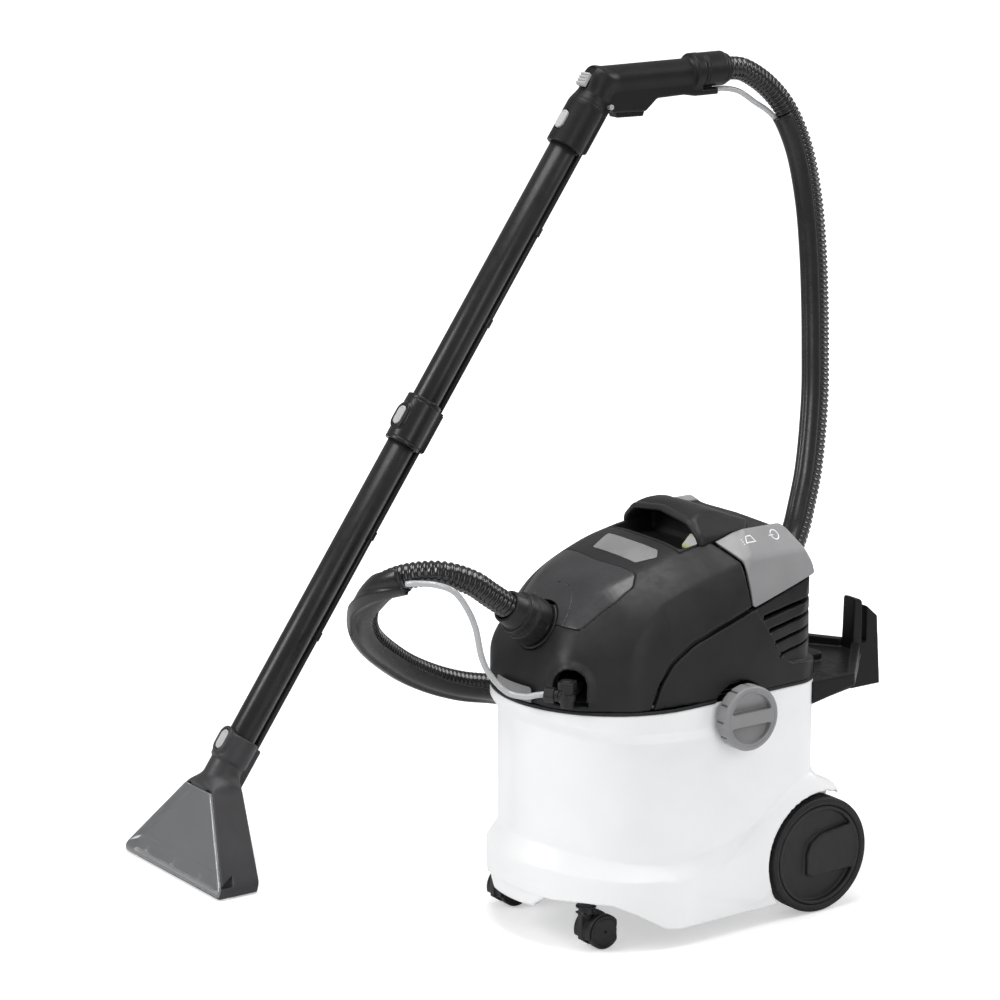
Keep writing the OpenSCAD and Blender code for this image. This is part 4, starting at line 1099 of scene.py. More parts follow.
def nut_field(p):
    u, v, w = local(p, ELBOW_O, ELBOW_AXES)
    ang = np.arctan2(w, v)
    rr = np.hypot(v, w)
    flats = rr * np.cos(np.mod(ang, math.pi / 3) - math.pi / 6) - 8.3
    d = rmax(rmax(flats, rr - 9.4, 0.4), slab(u, -26, -14), 0.8)
    d = rmin(d, rod(v, w, u, 6.6, -26, -9.2, 0.6), 0.5)
    return cut(d, rr - 5.08)


solid("spray_nut", "coupling_nut", "inlet_black", nut_field, (50, -206, 293), (92, -166, 315), 0.5)


def knob_field(p, s):
    x, y, z = p[0] * s, p[1] - F32(KNOB_Y), p[2] - F32(KNOB_Z)
    rr = np.hypot(y, z)
    face = slab(x, 144, 163)
    d = rmax(rr - KNOB_R - 1, face, 2.5)
    d = rmax(d, (rr - KNOB_R - 1) * 0.5 + (x - 162) * 0.86, 1.0)
    pocket = rmax(rr - 29.5, 8 - np.abs(z), 3)
    pocket = rmax(pocket, knots(np.abs(z), [(8, 153.5), (28, 158.5)]) - x, 2.0)
    d = cut(d, pocket, 1.5)
    tooth = np.abs(turn(y, z, 12)) * rr - 1.1
    d = cut(d, both(both(tooth, 35.6 - rr), x - 158), 0.8)
    d = cut(d, rmax(np.abs(rr - 32.2) - 0.4, 162.2 - x, 0.0), 0.2)
    shaft = rmax(rr - 8, slab(x, 118, 146), 0.6)
    cam = brick(x, y, z, (118, -6, 0), (122, 6, 14), 1)
    return join(d, join(shaft, cam))


pair("lock_knob_", "knob_", "knob_grey", knob_field, (116, -11, 223), (165, 67, 301), 0.9)

# ---------------------------------------------------------------- inside of the head and tank


def plate_field(p):
    x, y, z = p
    d = rmax(plan(x, y) + 7.5, slab(z, 285.6, 289.6), 1.0)
    d = cut(d, disc(y, z, KNOB_R + 3, KNOB_Y, KNOB_Z))
    d = cut(d, disc(x, y, 38, 0, 60), 0.8)
    d = cut(d, disc(x, y, 20, 0, -60), 0.8)
    arch, depth = elbow_recess(p)
    d = cut(d, both(arch, depth - 40), 0.5)
    rib = both(stripes(x + 12.5, 25, 0.9), slab(z, 284.7, 290))
    rib = both(rib, plan(x, y) + 12)
    rib = cut(rib, disc(x, y, 64, 0, 60))
    rib = cut(rib, disc(x, y, 24, 0, -60))
    rib = cut(rib, both(slab(x, -75, -25), slab(y, -75, 0)))
    return join(d, rib)


solid(
    "head_plate", "head", "inner_grey", plate_field,
    (-136, -187, 284), (136, 155, 291), (2.2, 2.2, 1.1),
)


def motor_profile():
    r = [(0.01, 0), (44, 0), (48, 3)]
    for k in range(6):
        r += [(48, 12 + 9 * k), (46.4, 13 + 9 * k), (46.4, 15 + 9 * k), (48, 16 + 9 * k)]
    return r + [(48, 66), (45, 70), (22, 70), (20, 72), (20, 80), (17, 82), (0.01, 82)]


v, f = lathe(motor_profile(), 96)
add_mesh("suction_motor", "head", ["suction_motor"], "steel", v + np.array([0, 60, 330.1]), f)
FAN = [(30, 0), (59, 0), (62, 2.5), (62, 18), (60.8, 19), (60.8, 21), (62, 22), (62, 37.5), (59, 40),
    (0.01, 40), (0.01, 37), (58, 37), (58, 3), (30, 3)]
v, f = lathe(FAN, 96)
add_mesh("fan_housing", "head", ["fan_housing"], "inner_grey", v + np.array([0, 60, 289.8]), f)


def pump_field(p):
    x, y, z = p[0] + 70, p[1] + 70, p[2] - F32(289.8)
    d = brick(x, y, z, (0, 0, 0), (40, 60, 34), 3)
    fins = both(stripes(y, 8, 1.0), 31.5 - z)
    d = cut(d, both(fins, slab(y, 6, 54)), 0.6)
    return rmin(d, rod(x - 20, z - 17, y, 12, 55, 68, 1.0), 1.0)


solid("water_pump", "head", "inner_grey", pump_field, (-72, -72, 288), (-28, 0, 326), 1.2)


def cage_field(p):
    x, y, z = p[0], p[1] - 60, p[2] - 246
    rr = np.hypot(x, y)
    d = rmax(rr - 34, slab(z, 0, 39.4), 1.2)
    d = cut(d, rmax(rr - 31, 3 - z, 1.0), 0.8)
    u, w = rr * np.sin(turn(x, y, 6)), z - 17
    window = rmax(np.abs(u) - 7, np.abs(w) - 11, 2)
    bars = stripes(w + 2.75, 5.5, 1.0)
    return cut(d, both(both(window, -bars), 26 - rr), 0.3)


solid("float_cage", "head", "white_shell", cage_field, (-36, 24, 245), (36, 96, 287), 0.9)
for n, at in enumerate(((-90.0, -120.0), (-90.0, 100.0), (90.0, -120.0), (90.0, 100.0))):
    name = "cover_screw_%d" % (n + 1)
    screw(name, "head", at, 282.6, 285.4, 4, 5, (282, 286), ["cover_screws"])

# ---------------------------------------------------------------- hoses

WAND_X = -399.5
GRIP_Z = 915.0
HOSE_POINTS = [
    (WAND_X, 397, GRIP_Z), (WAND_X, 420, 914), (WAND_X, 447, 909), (WAND_X + 2, 483, 886),
    (-392, 511, 852), (-382, 529, 802), (-370, 536, 738), (-357, 534, 674), (-344, 528, 611),
    (-330, 519, 549), (-316, 508, 487), (-298, 487, 414), (-285, 466, 366), (-270, 437, 318),
    (-252, 388, 276), (-236, 320, 245), (-222, 240, 224), (-210, 150, 212), (-202, 60, 208),
    (-198, -20, 214), (-197, -85, 232), (-196, -131, 244), (-192, -180, 264), (-180, -230, 293),
    (-150, -287, 338), (-115, -315, 380), (-75, -321, 417), (-42, -309, 436), (-15, -280, 441),
    (-3, -247, 429), (0, -222, 411), (0, -190, 388),
]
SIDE_KEYS = [
    (0, (0, -0.5, -1)), (0.14, (-0.4, -0.75, -0.5)), (0.34, (-0.5, -0.85, 0.1)),
    (0.46, (-0.6, -0.3, 0.8)), (0.56, (-1, 0, 0)), (0.66, (-0.1, -0.1, -1)), (0.75, (0, -0.5, -0.9)),
    (0.81, (-0.4, -0.8, -0.2)), (0.87, (0.4, -0.5, -0.8)), (1, (0.5, -0.2, -0.8)),
]
CAD_PER = 2  # samples of the CAD's hose for each stretch
SHEATH_SPAN = (8, 54)  # the samples between which the sheath covers it
HOSE_R = 15.0
RIDGE_MM = 6.6


def hose_line():
    """Fine centre line, with the side of the spray channel at each point."""
    line = curve(HOSE_POINTS, 40)
    share = np.arange(len(line)) / (len(line) - 1)
    side = np.stack([np.interp(share, [k for k, _ in SIDE_KEYS],
        [v[a] for _, v in SIDE_KEYS]) for a in range(3)], 1)
    return line, side


def even(line, side, step, lo=0.0, hi=1.0):
    """Resamples a line and its side vectors between two shares of the way; adds the length so far."""
    share = np.arange(len(line)) / (len(line) - 1)
    keep = (share >= lo - 1e-9) & (share <= hi + 1e-9)
    line, side = line[keep], side[keep]
    length = np.concatenate([[0], np.cumsum(np.linalg.norm(np.diff(line, axis=0), axis=1))])
    n = max(4, int(round(length[-1] / step)))
    at = np.linspace(0, length[-1], n + 1)
    pick = lambda a: np.stack([np.interp(at, length, a[:, k]) for k in range(a.shape[1])], 1)
    return pick(line), pick(side), at


def build_hose():
    pts, _, at = even(*hose_line(), RIDGE_MM / 6 * COARSE)
    phase = np.mod(at / RIDGE_MM, 1.0)
    ridge = np.clip(1.25 * np.sin(math.pi * np.clip(phase / 0.72, 0, 1)) ** 0.7, 0, 1)
    radius = HOSE_R - 2.0 + 1.9 * ridge
    up = np.tile([[1.0, 0.02, 0.03]], (len(pts), 1))
    v, f = sweep(pts, up, circle(1.0, 28)[None] * radius[:, None, None])
    add_mesh("suction_hose", "head", ["suction_hose"], "hose_black", v, f)


def sheath_outline():
    """C-shaped sleeve with a raised channel for the spray tube, drawn around the hose centre."""
    outer, inner = [], []
    for a in np.linspace(-96, 96, 33):
        lift = 3.9 * float(np.clip((27 - abs(a)) / 7, 0, 1)) ** 0.8
        r = 17.3 + lift
        outer.append((r * math.cos(math.radians(a)), r * math.sin(math.radians(a)) * (17.3 / r) ** 0.2))
    for a in np.linspace(96, -96, 25):
        inner.append((15.5 * math.cos(math.radians(a)), 15.5 * math.sin(math.radians(a))))
    end = lambda s: (16.4 * math.cos(math.radians(98.5)), s * 16.4 * math.sin(math.radians(98.5)))
    return np.array(outer + [end(1)] + inner + [end(-1)])


def build_sheath():
    last = CAD_PER * (len(HOSE_POINTS) - 1)
    pts, sides, _ = even(*hose_line(), 5.0 * COARSE, SHEATH_SPAN[0] / last, SHEATH_SPAN[1] / last)
    v, f = sweep(pts, sides, sheath_outline())
    add_mesh("hose_sheath", "head", ["hose_sheath"], "sheath_grey", v, f)


NUT_OUT = 26.5
NUT_END = (ELBOW_O[0] - NUT_OUT * math.cos(ELBOW_A), ELBOW_O[1] - NUT_OUT * math.sin(ELBOW_A), ELBOW_Z)
SPRAY_LOW = [
    (-24, -319, 433), (-13, -312, 435), (2, -296, 434), (8, -277, 425), (6, -259, 404), (7, -247, 378),
    (9, -240, 343), (14, -231, 321), (27, -217, 302), (44, -204, 299), (54, -196, 302), NUT_END,
]
SPRAY_HIGH = [(WAND_X, 397, 889), (WAND_X, 418, 888), (WAND_X, 440, 882), (WAND_X, 464, 867),
    (WAND_X, 484, 855), (WAND_X + 1, 498, 842.5), (WAND_X + 2.4, 502.4, 834)]


def build_spray():
    for tag, points in (("low", SPRAY_LOW), ("high", SPRAY_HIGH)):
        line = resample(curve(points, 20), 2.5)
        side = np.tile([[0.2, 0.3, 1.0]] if tag == "low" else [[1.0, 0, 0]], (len(line), 1))
        v, f = sweep(line, side, circle(3.5, 20))
        add_mesh("spray_hose_" + tag, "head", ["spray_hose"], "spray_clear", v, f)
        v, f = sweep(line, side, circle(1.7, 12))
        add_mesh("spray_core_" + tag, "head", [], "spray_clear", v, f, "steel")


build_hose()
build_sheath()
build_spray()


def cuff_field(p):
    u, v, w = local(p, INLET_O, INLET_AXES)
    rr = np.hypot(u, v)
    d = rod(u, v, w, 25, -20, 12, 0.8)
    d = rmin(d, rod(u, v, w, 28, 11, 33, 1.6), 0.8)
    d = rmin(d, rod(u, v, w, 25, 30, 43, 1.2), 1.2)
    taper = rmax((rr - (21.5 - (w - 43) * 0.14)) * 0.99, slab(w, 40, 60), 1.2)
    d = rmin(d, taper, 1.5)
    nick = np.abs(turn(u, v, 4)) * rr - 3.0
    d = cut(d, both(both(nick, 26.9 - rr), slab(w, 14, 29)), 0.4)
    ring = join(np.abs(w - 12.4), np.abs(w - 31.2)) - 0.45
    d = cut(d, both(ring, 27.2 - rr), 0.2)
    return cut(d, rr - 15.6, 0.8)


solid("hose_cuff", "inlet_cuff", "inlet_black", cuff_field, (-30, -228, 334), (30, -118, 420), 0.9)


# ---------------------------------------------------------------- handle, tubes and nozzle

LEAN = math.radians(35.1)
WAND_O = (WAND_X, -315.0, 154.0)
WAND_AXES = [(1, 0, 0), (0, math.cos(LEAN), -math.sin(LEAN)), (0, math.sin(LEAN), math.cos(LEAN))]
TUBE_R, TUBE_WALL, SPIGOT = 17.5, 1.5, 36.0
COUPLER_S, COUPLER_LEN = 410.0, 62.0
COLLAR_S, COLLAR_LEN = 832.0, 74.0
LINE_V, LINE_BORE = 26.0, 4.4
COUPLER_BUTTON, HANDLE_BUTTON, NOZZLE_BUTTON = COUPLER_S + 30, COLLAR_S + 28, -10.0
GRIP_R, GRIP_Y0, GRIP_Y1 = 16.5, 214.0, 362.0


def wand(p):
    return local(p, WAND_O, WAND_AXES)


def to_world(verts):
    return verts @ np.array(WAND_AXES) + np.array(WAND_O)


def on_wand(v, s):
    """World point v in front of the wand line, s along it from the nozzle joint."""
    return to_world(np.array([0.0, v, s]))


def button_seat(d, u, v, s):
    return cut(d, both(oval(u, s, 27, 15), v + 15), 0.8)


def grip_field(p):
    x, y, z = p[0] - F32(WAND_X), p[1], p[2] - F32(GRIP_Z)
    u, v, s = wand(p)
    d = rmax(np.hypot(x, z) - GRIP_R, slab(y, GRIP_Y0, GRIP_Y1 + 6), 1)
    ball = np.sqrt(x * x + (y - F32(GRIP_Y0)) ** 2 + z * z) - GRIP_R
    d = rmin(d, ball, 1)
    d = rmin(d, rod(u, v, s, 19, 890, 938, 5), 8)
    collar = rod(u, v, s, 23.5, COLLAR_S, COLLAR_S + COLLAR_LEN, 1.5)
    collar = rmax(collar, (np.hypot(u, v) - 23.5) * 0.9 + (s - 893) * 0.43, 3)
    d = rmin(d, collar, 3)
    cuff = rod(x, z, y, 22.5, GRIP_Y1 - 5, GRIP_Y1 + 9, 2)
    d = rmin(d, cuff, 5)
    shape = fillet([(206, 905), (222, 884), (232, 873), (282, 871), (300, 886), (342, 887), (360, 884),
        (396, 884), (396, 892.4), (371.2, 892.4), (366, 912), (220, 918)],
        [6, 5, 6, 8, 8, 3, 3, 2, 1, 1, 3, 6])
    belly = rmax(poly(y, p[2], shape), np.abs(x) - 13, 3.5)
    d = rmin(d, belly, 5)
    clip = brick(u, v, s, (-9, 8, COLLAR_S + 6), (9, 31, COLLAR_S + COLLAR_LEN + 2), 4)
    return rmin(d, clip, 2.5)


def grip_hollow(p, d):
    x, y, z = p[0] - F32(WAND_X), p[1], p[2] - F32(GRIP_Z)
    u, v, s = wand(p)
    d = cut(d, rod(x, z, y, 12.5, GRIP_Y0, 334))
    d = cut(d, rod(x, z, y, 14.58, 330, 390), 0.6)
    d = cut(d, rod(u, v, s, TUBE_R + 0.08, COLLAR_S - 5, COLLAR_S + 60), 0.8)
    d = cut(d, rod(u, v, s, 12.5, COLLAR_S + 50, COLLAR_S + 106))
    d = cut(d, rod(u, v - LINE_V, s, LINE_BORE, COLLAR_S - 5, COLLAR_S + 61), 0.4)
    d = button_seat(d, u, v, s - F32(HANDLE_BUTTON))
    d = cut(d, brick(u, v, s, (-8, -40, COLLAR_S + 75), (8, -17.5, COLLAR_S + 105), 1), 0.6)
    d = cut(d, brick(x, y, p[2], (-9, 236, 850), (9, 286, 887), 1), 0.8)
    d = cut(d, rod(y - 241, p[2] - 876, x, 2.08, -11, 11))
    d = cut(d, rod(y - 226.5, p[2] - 881, x, 3.6, -20, 20), 0.3)
    seam = both(np.abs(s - F32(COLLAR_S + COLLAR_LEN - 12)) - 0.45, -(d + 0.7))
    return cut(d, seam, 0.1)


def shell_field(p, s):
    d = grip_hollow(p, grip_field(p))
    half = (p[0] - F32(WAND_X)) * -s + 0.03
    return rmax(d, half, 0.35)


for side, s in SIDES:
    x0, x1 = sorted((WAND_X - s * 1.5, WAND_X + s * 26))
    name, half = "handle_shell_" + side, lambda p, s=s: shell_field(p, s)
    solid(name, "handle", "grip_black", half, (x0, 135, 800), (x1, 399, 940), 1.0)


def end_field(p):
    x, y, z = p[0] - F32(WAND_X), p[1], p[2] - F32(GRIP_Z)
    rr = np.hypot(x, z)
    d = rod(x, z, y, 14.5, 334, 374, 0.8)
    d = rmin(d, rod(x, z, y, 22, GRIP_Y1 + 9.2, GRIP_Y1 + 47, 2.5), 0.5)
    d = rmin(d, rod(x, z, y, 19, GRIP_Y1 + 40, GRIP_Y1 + 53, 1.5), 1.0)
    groove = join(np.abs(y - 376), np.abs(y - 404.5)) - 0.5
    d = cut(d, both(groove, 21.2 - rr), 0.2)
    d = cut(d, rod(x, z, y, 11.5, 330, 393))
    return cut(d, rod(x, z, y, 15.6, 392, 430), 0.8)


solid(
    "handle_cuff", "handle_end", "grip_black", end_field,
    (WAND_X - 24, 332, 891), (WAND_X + 24, 417, 939), 0.9,
)


def trigger_field(p):
    x, y, z = p[0] - F32(WAND_X), p[1], p[2]
    shape = fillet([(237.5, 872), (240, 866), (280, 865), (284, 877), (284, 881), (278, 882), (241, 880),
        (237.5, 878)], 1.5)
    d = rmax(poly(y, z, shape), np.abs(x) - 8.6, 1.2)
    d = cut(d, both(both(stripes(y, 5, 0.5), z - 866.2), slab(y, 246, 277)), 0.3)
    return rmin(d, rod(y - 241, z - 876, x, 2, -10.8, 10.8, 0.4), 0.3)


solid(
    "spray_trigger", "trigger", "grip_black", trigger_field,
    (WAND_X - 12, 236, 863.5), (WAND_X + 12, 286, 884), 0.55,
)


def slider_field(p):
    u, v, s = wand(p)
    s = s - F32(COLLAR_S + 76)
    d = brick(u, v, s, (-7.6, -25, 0), (7.6, -19, 18), 1.2)
    ribs = rmax(stripes(s - 0.7, 4.2, 0.9), both(slab(u, -7.2, 7.2), slab(v, -26.6, -23)), 0.4)
    ribs = both(ribs, slab(s, 1.2, 16.8))
    return rmin(d, ribs, 0.3)


solid("air_slider", "slider", "button_grey", slider_field, *around(on_wand(-22, 917), 14), 0.45)


def catch_field(p):
    u, v, w = p[1] - 226.5, p[2] - 881, p[0] - F32(WAND_X)
    return cut(rod(u, v, w, 3.5, 8.2, 15.4, 0.9), rod(u, v, w, 1.6, 14.9, 17, 0.2), 0.2)


solid(
    "trigger_lock", "trigger_catch", "button_grey", catch_field,
    (WAND_X + 7, 222, 876), (WAND_X + 17, 231, 886), 0.35,
)


def button_field(p, at):
    u, v, s = wand(p)
    face = oval(u, s - F32(at), 25, 13.6)
    d = rmax(face, slab(v, -25.0, -19.6), 1.6)
    dish = np.hypot(u, v + 44) - 19.6
    return cut(d, both(dish, np.abs(s - F32(at)) - 9), 0.6)


BUTTONS = (("coupler_button", "middle_button", COUPLER_BUTTON),
    ("handle_button", "top_button", HANDLE_BUTTON),
    ("nozzle_button", "low_button", NOZZLE_BUTTON))
for name, body, at in BUTTONS:
    button = lambda p, at=at: button_field(p, at)
    solid(name, body, "button_grey", button, *around(on_wand(-22.3, at), (8, 13, 13)), 0.5)


def tube_wall(s0, s1):
    r, t = TUBE_R, TUBE_WALL
    return [(r - t, s0 + 0.5), (r - t + 0.5, s0), (r - 0.7, s0), (r, s0 + 0.7), (r, s0 + 3),
        (r - 0.25, s0 + 3.6), (r - 0.25, s0 + 4.2), (r, s0 + 4.8), (r, s1 - 0.7), (r - 0.7, s1),
        (r - t + 0.5, s1), (r - t, s1 - 0.5)]


def build_tube(name, body, s0, s1, nodes):
    v, f = lathe(tube_wall(s0, s1), 96)
    add_mesh(name, body, nodes, "tube_black", to_world(v), f)


build_tube("upper_tube", "tube_top", COUPLER_S + COUPLER_LEN - SPIGOT, COLLAR_S + 50, ["upper_tube"])
build_tube("lower_tube", "tube_bottom", -SPIGOT, COUPLER_S + 12, ["lower_tube"])


def rib_field(p, s0):
    u, v, s = wand(p)
    d = rmax(brick(u, v, s, (-2.5, 16.6, s0), (2.5, 22.2, s0 + 12), 0.8), -(np.hypot(u, v) - 17.2), 0)
    hook = rmax(np.abs(np.hypot(u, v - LINE_V) - 5.1) - 0.8, slab(s, s0, s0 + 12), 0.4)
    hook = both(hook, v - 29.2)
    return join(d, hook)


CLIPS = ((590, "tube_top"), (720, "tube_top"), (150, "tube_bottom"), (290, "tube_bottom"))
for n, (s0, body) in enumerate(CLIPS):
    clip = lambda p, s0=s0: rib_field(p, s0)
    solid(
        "line_clip_%d" % (n + 1), body, "tube_black", clip,
        *around(on_wand(24, s0 + 6), (7, 13, 13)), 0.55, nodes=[],
    )


def coupler_field(p):
    u, v, s = wand(p)
    rr = np.hypot(u, v)
    d = rod(u, v, s, 22.5, COUPLER_S, COUPLER_S + COUPLER_LEN, 1.6)
    clip = brick(u, v, s, (-8, 10, COUPLER_S + 3), (8, 32, COUPLER_S + COUPLER_LEN - 3), 3)
    d = rmin(d, clip, 3)
    pad = rmax(oval(u, s - F32(COUPLER_BUTTON), 36, 24), slab(v, -24.0, -10), 1.5)
    d = rmin(d, pad, 2.5)
    ring = join(np.abs(s - F32(COUPLER_S + 5)), np.abs(s - F32(COUPLER_S + COUPLER_LEN - 5))) - 0.5
    d = cut(d, both(ring, 21.7 - rr), 0.2)
    d = cut(d, both(rr - TUBE_R - 0.08, COUPLER_S + 13 - s), 0.8)
    d = cut(d, both(rr - 16, COUPLER_S + 20 - s))
    d = cut(d, both(rr - TUBE_R - 0.02, s - COUPLER_S - 13), 0.6)
    d = cut(d, np.hypot(u, v - LINE_V) - LINE_BORE, 0.4)
    return button_seat(d, u, v, s - F32(COUPLER_BUTTON))


MIDDLE = on_wand(0, COUPLER_S + 31)
solid(
    "tube_coupler", "tube_bottom", "tube_black", coupler_field,
    tuple(MIDDLE - [24, 46, 46]), tuple(MIDDLE + [24, 50, 46]), 0.85, nodes=[],
)


def build_line(name, body, s0, s1, node):
    prof = [(2.4, s0), (3.6, s0), (4.1, s0 + 0.5), (4.1, s1 - 0.5), (3.6, s1), (2.4, s1)]
    v, f = lathe(prof, 32)
    add_mesh(name, body, [node], "tube_black", to_world(v + np.array([0, LINE_V, 0])), f)


build_line("spray_line_upper", "tube_top", COUPLER_S + 8, COLLAR_S + 50, "spray_line_upper")
build_line("spray_line_lower", "tube_bottom", -32.0, COUPLER_S + 6, "spray_line_lower")

NOZZLE_SIDE = [(-414.5, 0), (-415.5, 8), (-373, 112), (-328, 112), (-336, 84), (-357, 12), (-360.7, 0)]
NOZZLE_FRONT = [(-113, 0), (113, 0), (113, 12), (24, 112), (-24, 112), (-113, 12)]


def nozzle_outer(p, g=0.0):
    x, y, z = p[0] - F32(WAND_X), p[1], p[2]
    side = poly(y, z, fillet(NOZZLE_SIDE, [1, 8, 14, 10, 60, 10, 2], 5)) + F32(g)
    front = poly(x, z, fillet(NOZZLE_FRONT, [2, 2, 14, 22, 22, 14], 6)) + F32(g)
    return rmax(side, front, 4.0)


def window_plane(p):
    """Depth behind the sloping front of the nozzle."""
    (y0, z0), (y1, z1) = NOZZLE_SIDE[1:3]
    length = math.hypot(y1 - y0, z1 - z0)
    depth = (p[1] - y0) * F32((z1 - z0) / length) - (p[2] - z0) * F32((y1 - y0) / length)
    return depth.astype(F32)


def nozzle_body_field(p):
    x, y, z = p[0] - F32(WAND_X), p[1], p[2]
    u, v, s = wand(p)
    depth = window_plane(p)
    d = rmax(nozzle_outer(p), 3.3 - depth, 0.8)
    neck = rod(u, v, s, 21, -66, 2, 1.5)
    d = rmin(d, neck, 16)
    d = rmin(d, rod(u, v, s, 23.5, -30, 2, 1.5), 4)
    d = rmin(d, brick(u, v, s, (-8, 10, -56), (8, 32, 0), 3), 3)
    pad = rmax(oval(u, s - F32(NOZZLE_BUTTON), 36, 24), slab(v, -24.3, -10), 1.5)
    d = rmin(d, pad, 3)
    room = rmax(nozzle_outer(p, 2.6), 3.2 - depth, 0)
    room = rmax(room, depth - knots(z, [(8, 10), (40, 14), (112, 26)]), 4)
    d = cut(d, room, 1.0)
    slot = rmax(poly(y, z, [(-411, -3), (-411, 14), (-390, 24), (-399, -3)]), np.abs(x) - 110, 1.0)
    d = cut(d, slot, 0.5)
    d = cut(d, rod(u, v, s, TUBE_R + 0.08, -36.5, 24), 0.8)
    d = cut(d, rod(u, v, s, 14, -72, -30), 1)
    d = cut(d, rod(u, v - LINE_V, s, LINE_BORE, -80, 20), 0.4)
    return button_seat(d, u, v, s - F32(NOZZLE_BUTTON))


solid(
    "nozzle_body", "nozzle", "nozzle_dark", nozzle_body_field,
    (WAND_X - 115, -417, -1.5), (WAND_X + 115, -284, 178), 1.25,
)


def window_field(p):
    x, z = p[0] - F32(WAND_X), p[2]
    depth = window_plane(p)
    out = nozzle_outer(p)
    d = rmax(rmax(out, slab(depth, 0.1, 3.0), 0.5), z - 104, 1)
    raised = both(out + 4.2, depth - 1.0)
    d = cut(d, raised, 0.5)
    marks = None
    for cx in (-62.0, 0.0, 62.0):
        m = np.abs(np.hypot(x - cx, (z - 16) * 1.08) - 2.6) - 0.45
        marks = m if marks is None else join(marks, m)
    return cut(d, both(marks, depth - 1.7), 0.1)


solid(
    "nozzle_window", "nozzle", "window_clear", window_field,
    (WAND_X - 115, -417, -1.5), (WAND_X + 115, -370, 106), 1.0,
)


def jet_field(p):
    u, v, s = wand(p)
    v, s = v - LINE_V, s + 72
    d = rod(u, v, s, 4, 0, 15.8, 0.6)
    tip = rmax(np.hypot(u, v) - (3.0 + s * 0.35), slab(s, -4, 0.5), 0.5)
    return rmin(d, tip, 0.4)


solid("spray_jet", "nozzle", "tube_black", jet_field, *around(on_wand(LINE_V, -66), (6, 12, 13)), 0.4)

run_jobs()

# ---------------------------------------------------------------- camera, light and floor


ROOM_LIGHT = 0.36
FLOOR_HALF, FLOOR_COLOUR, FLOOR_ROUGH = 12.0, (0.8, 0.8, 0.805, 1), 0.6
FADE = (("From Min", 0.7), ("From Max", 2.2), ("To Min", 0.42), ("To Max", 0.95))
LIT_POINT = Vector((-0.1, 0, 0.4))
LIGHTS = (
    ("key", (-0.9, -2.9, 2.2), (1.1, 1.5), 60),
    ("side", (2.9, -0.2, 1.5), (0.8, 2.2), 22),
    ("back", (0.5, 2.8, 2.0), (2.0, 0.9), 30),
    ("top", (0.0, 0.0, 3.2), (1.8, 1.8), 62),
)


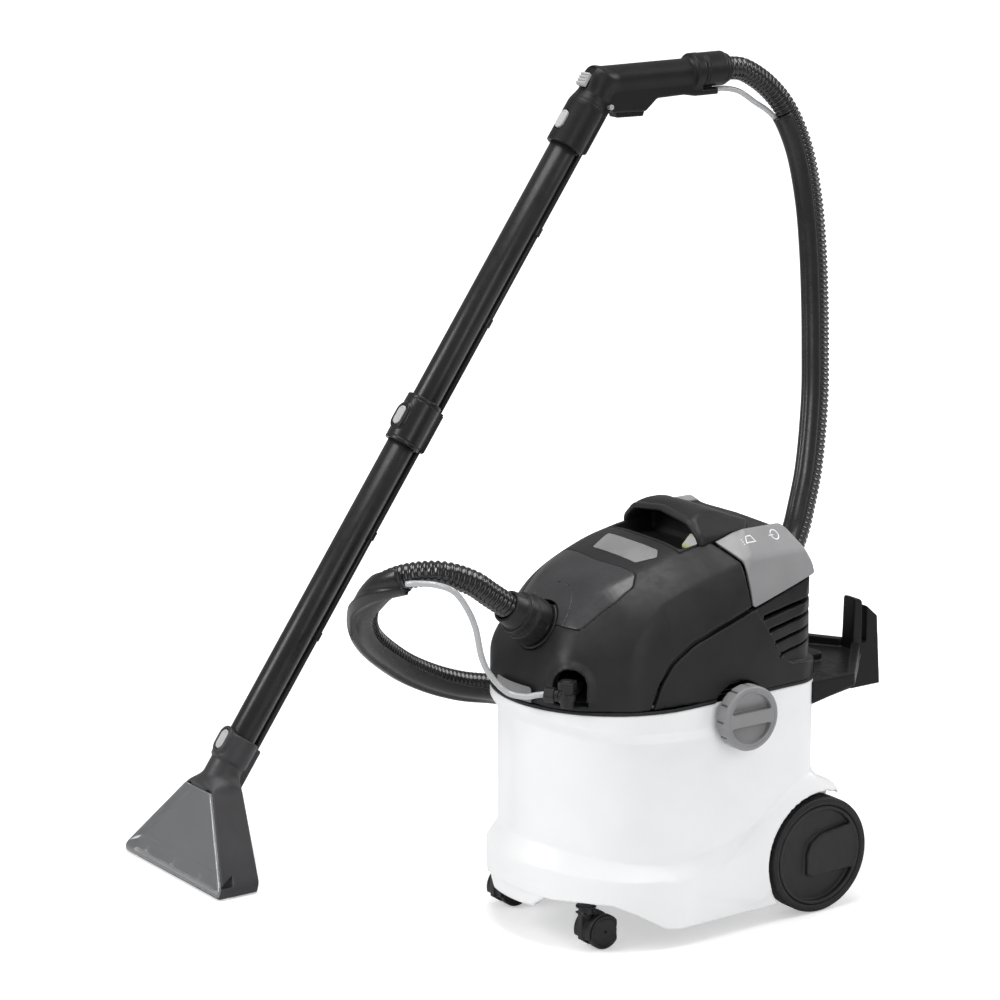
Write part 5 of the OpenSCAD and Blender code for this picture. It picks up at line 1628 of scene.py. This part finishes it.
def build_stage():
    me = bpy.data.meshes.new("floor")
    corners = [(a * FLOOR_HALF, b * FLOOR_HALF, -0.0005) for a, b in ((-1, -1), (1, -1), (1, 1), (-1, 1))]
    me.from_pydata(corners, [], [(0, 1, 2, 3)])
    floor = bpy.data.objects.new("floor", me)
    m = bpy.data.materials.new("pale_floor")
    m.use_nodes = True
    shader = m.node_tree.nodes["Principled BSDF"]
    shader.inputs["Base Color"].default_value = FLOOR_COLOUR
    shader.inputs["Roughness"].default_value = FLOOR_ROUGH
    shader.inputs["Emission Color"].default_value = (1, 1, 1, 1)
    # the floor fades to plain white away from the machine, seen by the camera only
    tree = m.node_tree
    place = tree.nodes.new("ShaderNodeNewGeometry")
    reach = tree.nodes.new("ShaderNodeVectorMath")
    reach.operation = "LENGTH"
    fade = tree.nodes.new("ShaderNodeMapRange")
    for key, number in FADE:
        fade.inputs[key].default_value = number
    seen = tree.nodes.new("ShaderNodeMath")
    seen.operation = "MULTIPLY"
    tree.links.new(place.outputs["Position"], reach.inputs[0])
    tree.links.new(reach.outputs["Value"], fade.inputs["Value"])
    tree.links.new(fade.outputs[0], seen.inputs[0])
    tree.links.new(tree.nodes.new("ShaderNodeLightPath").outputs["Is Camera Ray"], seen.inputs[1])
    tree.links.new(seen.outputs[0], shader.inputs["Emission Strength"])
    me.materials.append(m)
    bpy.context.scene.collection.objects.link(floor)
    world = bpy.data.worlds.new("studio")
    bpy.context.scene.world = world
    world.use_nodes = True
    nodes, links = world.node_tree.nodes, world.node_tree.links
    soft = nodes["Background"]
    soft.inputs["Color"].default_value = (1, 1, 1, 1)
    soft.inputs["Strength"].default_value = ROOM_LIGHT
    plain = nodes.new("ShaderNodeBackground")
    plain.inputs["Color"].default_value = (1, 1, 1, 1)
    mixer = nodes.new("ShaderNodeMixShader")
    links.new(nodes.new("ShaderNodeLightPath").outputs["Is Camera Ray"], mixer.inputs[0])
    links.new(soft.outputs[0], mixer.inputs[1])
    links.new(plain.outputs[0], mixer.inputs[2])
    links.new(mixer.outputs[0], nodes["World Output"].inputs["Surface"])
    for name, place, size, power in LIGHTS:
        data = bpy.data.lights.new(name, "AREA")
        data.shape = "RECTANGLE"
        data.size, data.size_y = size
        data.energy = power
        light = bpy.data.objects.new(name, data)
        light.location = place
        light.rotation_mode = "QUATERNION"
        light.rotation_quaternion = (Vector(place) - LIT_POINT).to_track_quat("Z", "Y")
        bpy.context.scene.collection.objects.link(light)


CAMERA_TARGET = Vector((-0.0422, -0.17935, 0.5064))
CAMERA_AZ, CAMERA_EL, CAMERA_AWAY = 55.3, 13.9, 4.42045
LENS_MM, SENSOR_MM = 140.15, 36


def build_camera():
    az, el = math.radians(CAMERA_AZ), math.radians(CAMERA_EL)
    back = Vector((math.sin(az) * math.cos(el), -math.cos(az) * math.cos(el), math.sin(el)))
    data = bpy.data.cameras.new("camera")
    data.lens = LENS_MM
    data.sensor_width = SENSOR_MM
    data.clip_end = 100
    cam = bpy.data.objects.new("camera", data)
    cam.location = CAMERA_TARGET + back * CAMERA_AWAY
    cam.rotation_mode = "QUATERNION"
    cam.rotation_quaternion = (-back).to_track_quat("-Z", "Y")
    bpy.context.scene.collection.objects.link(cam)
    bpy.context.scene.camera = cam


build_stage()
build_camera()
bpy.context.scene.view_settings.view_transform = "Standard"
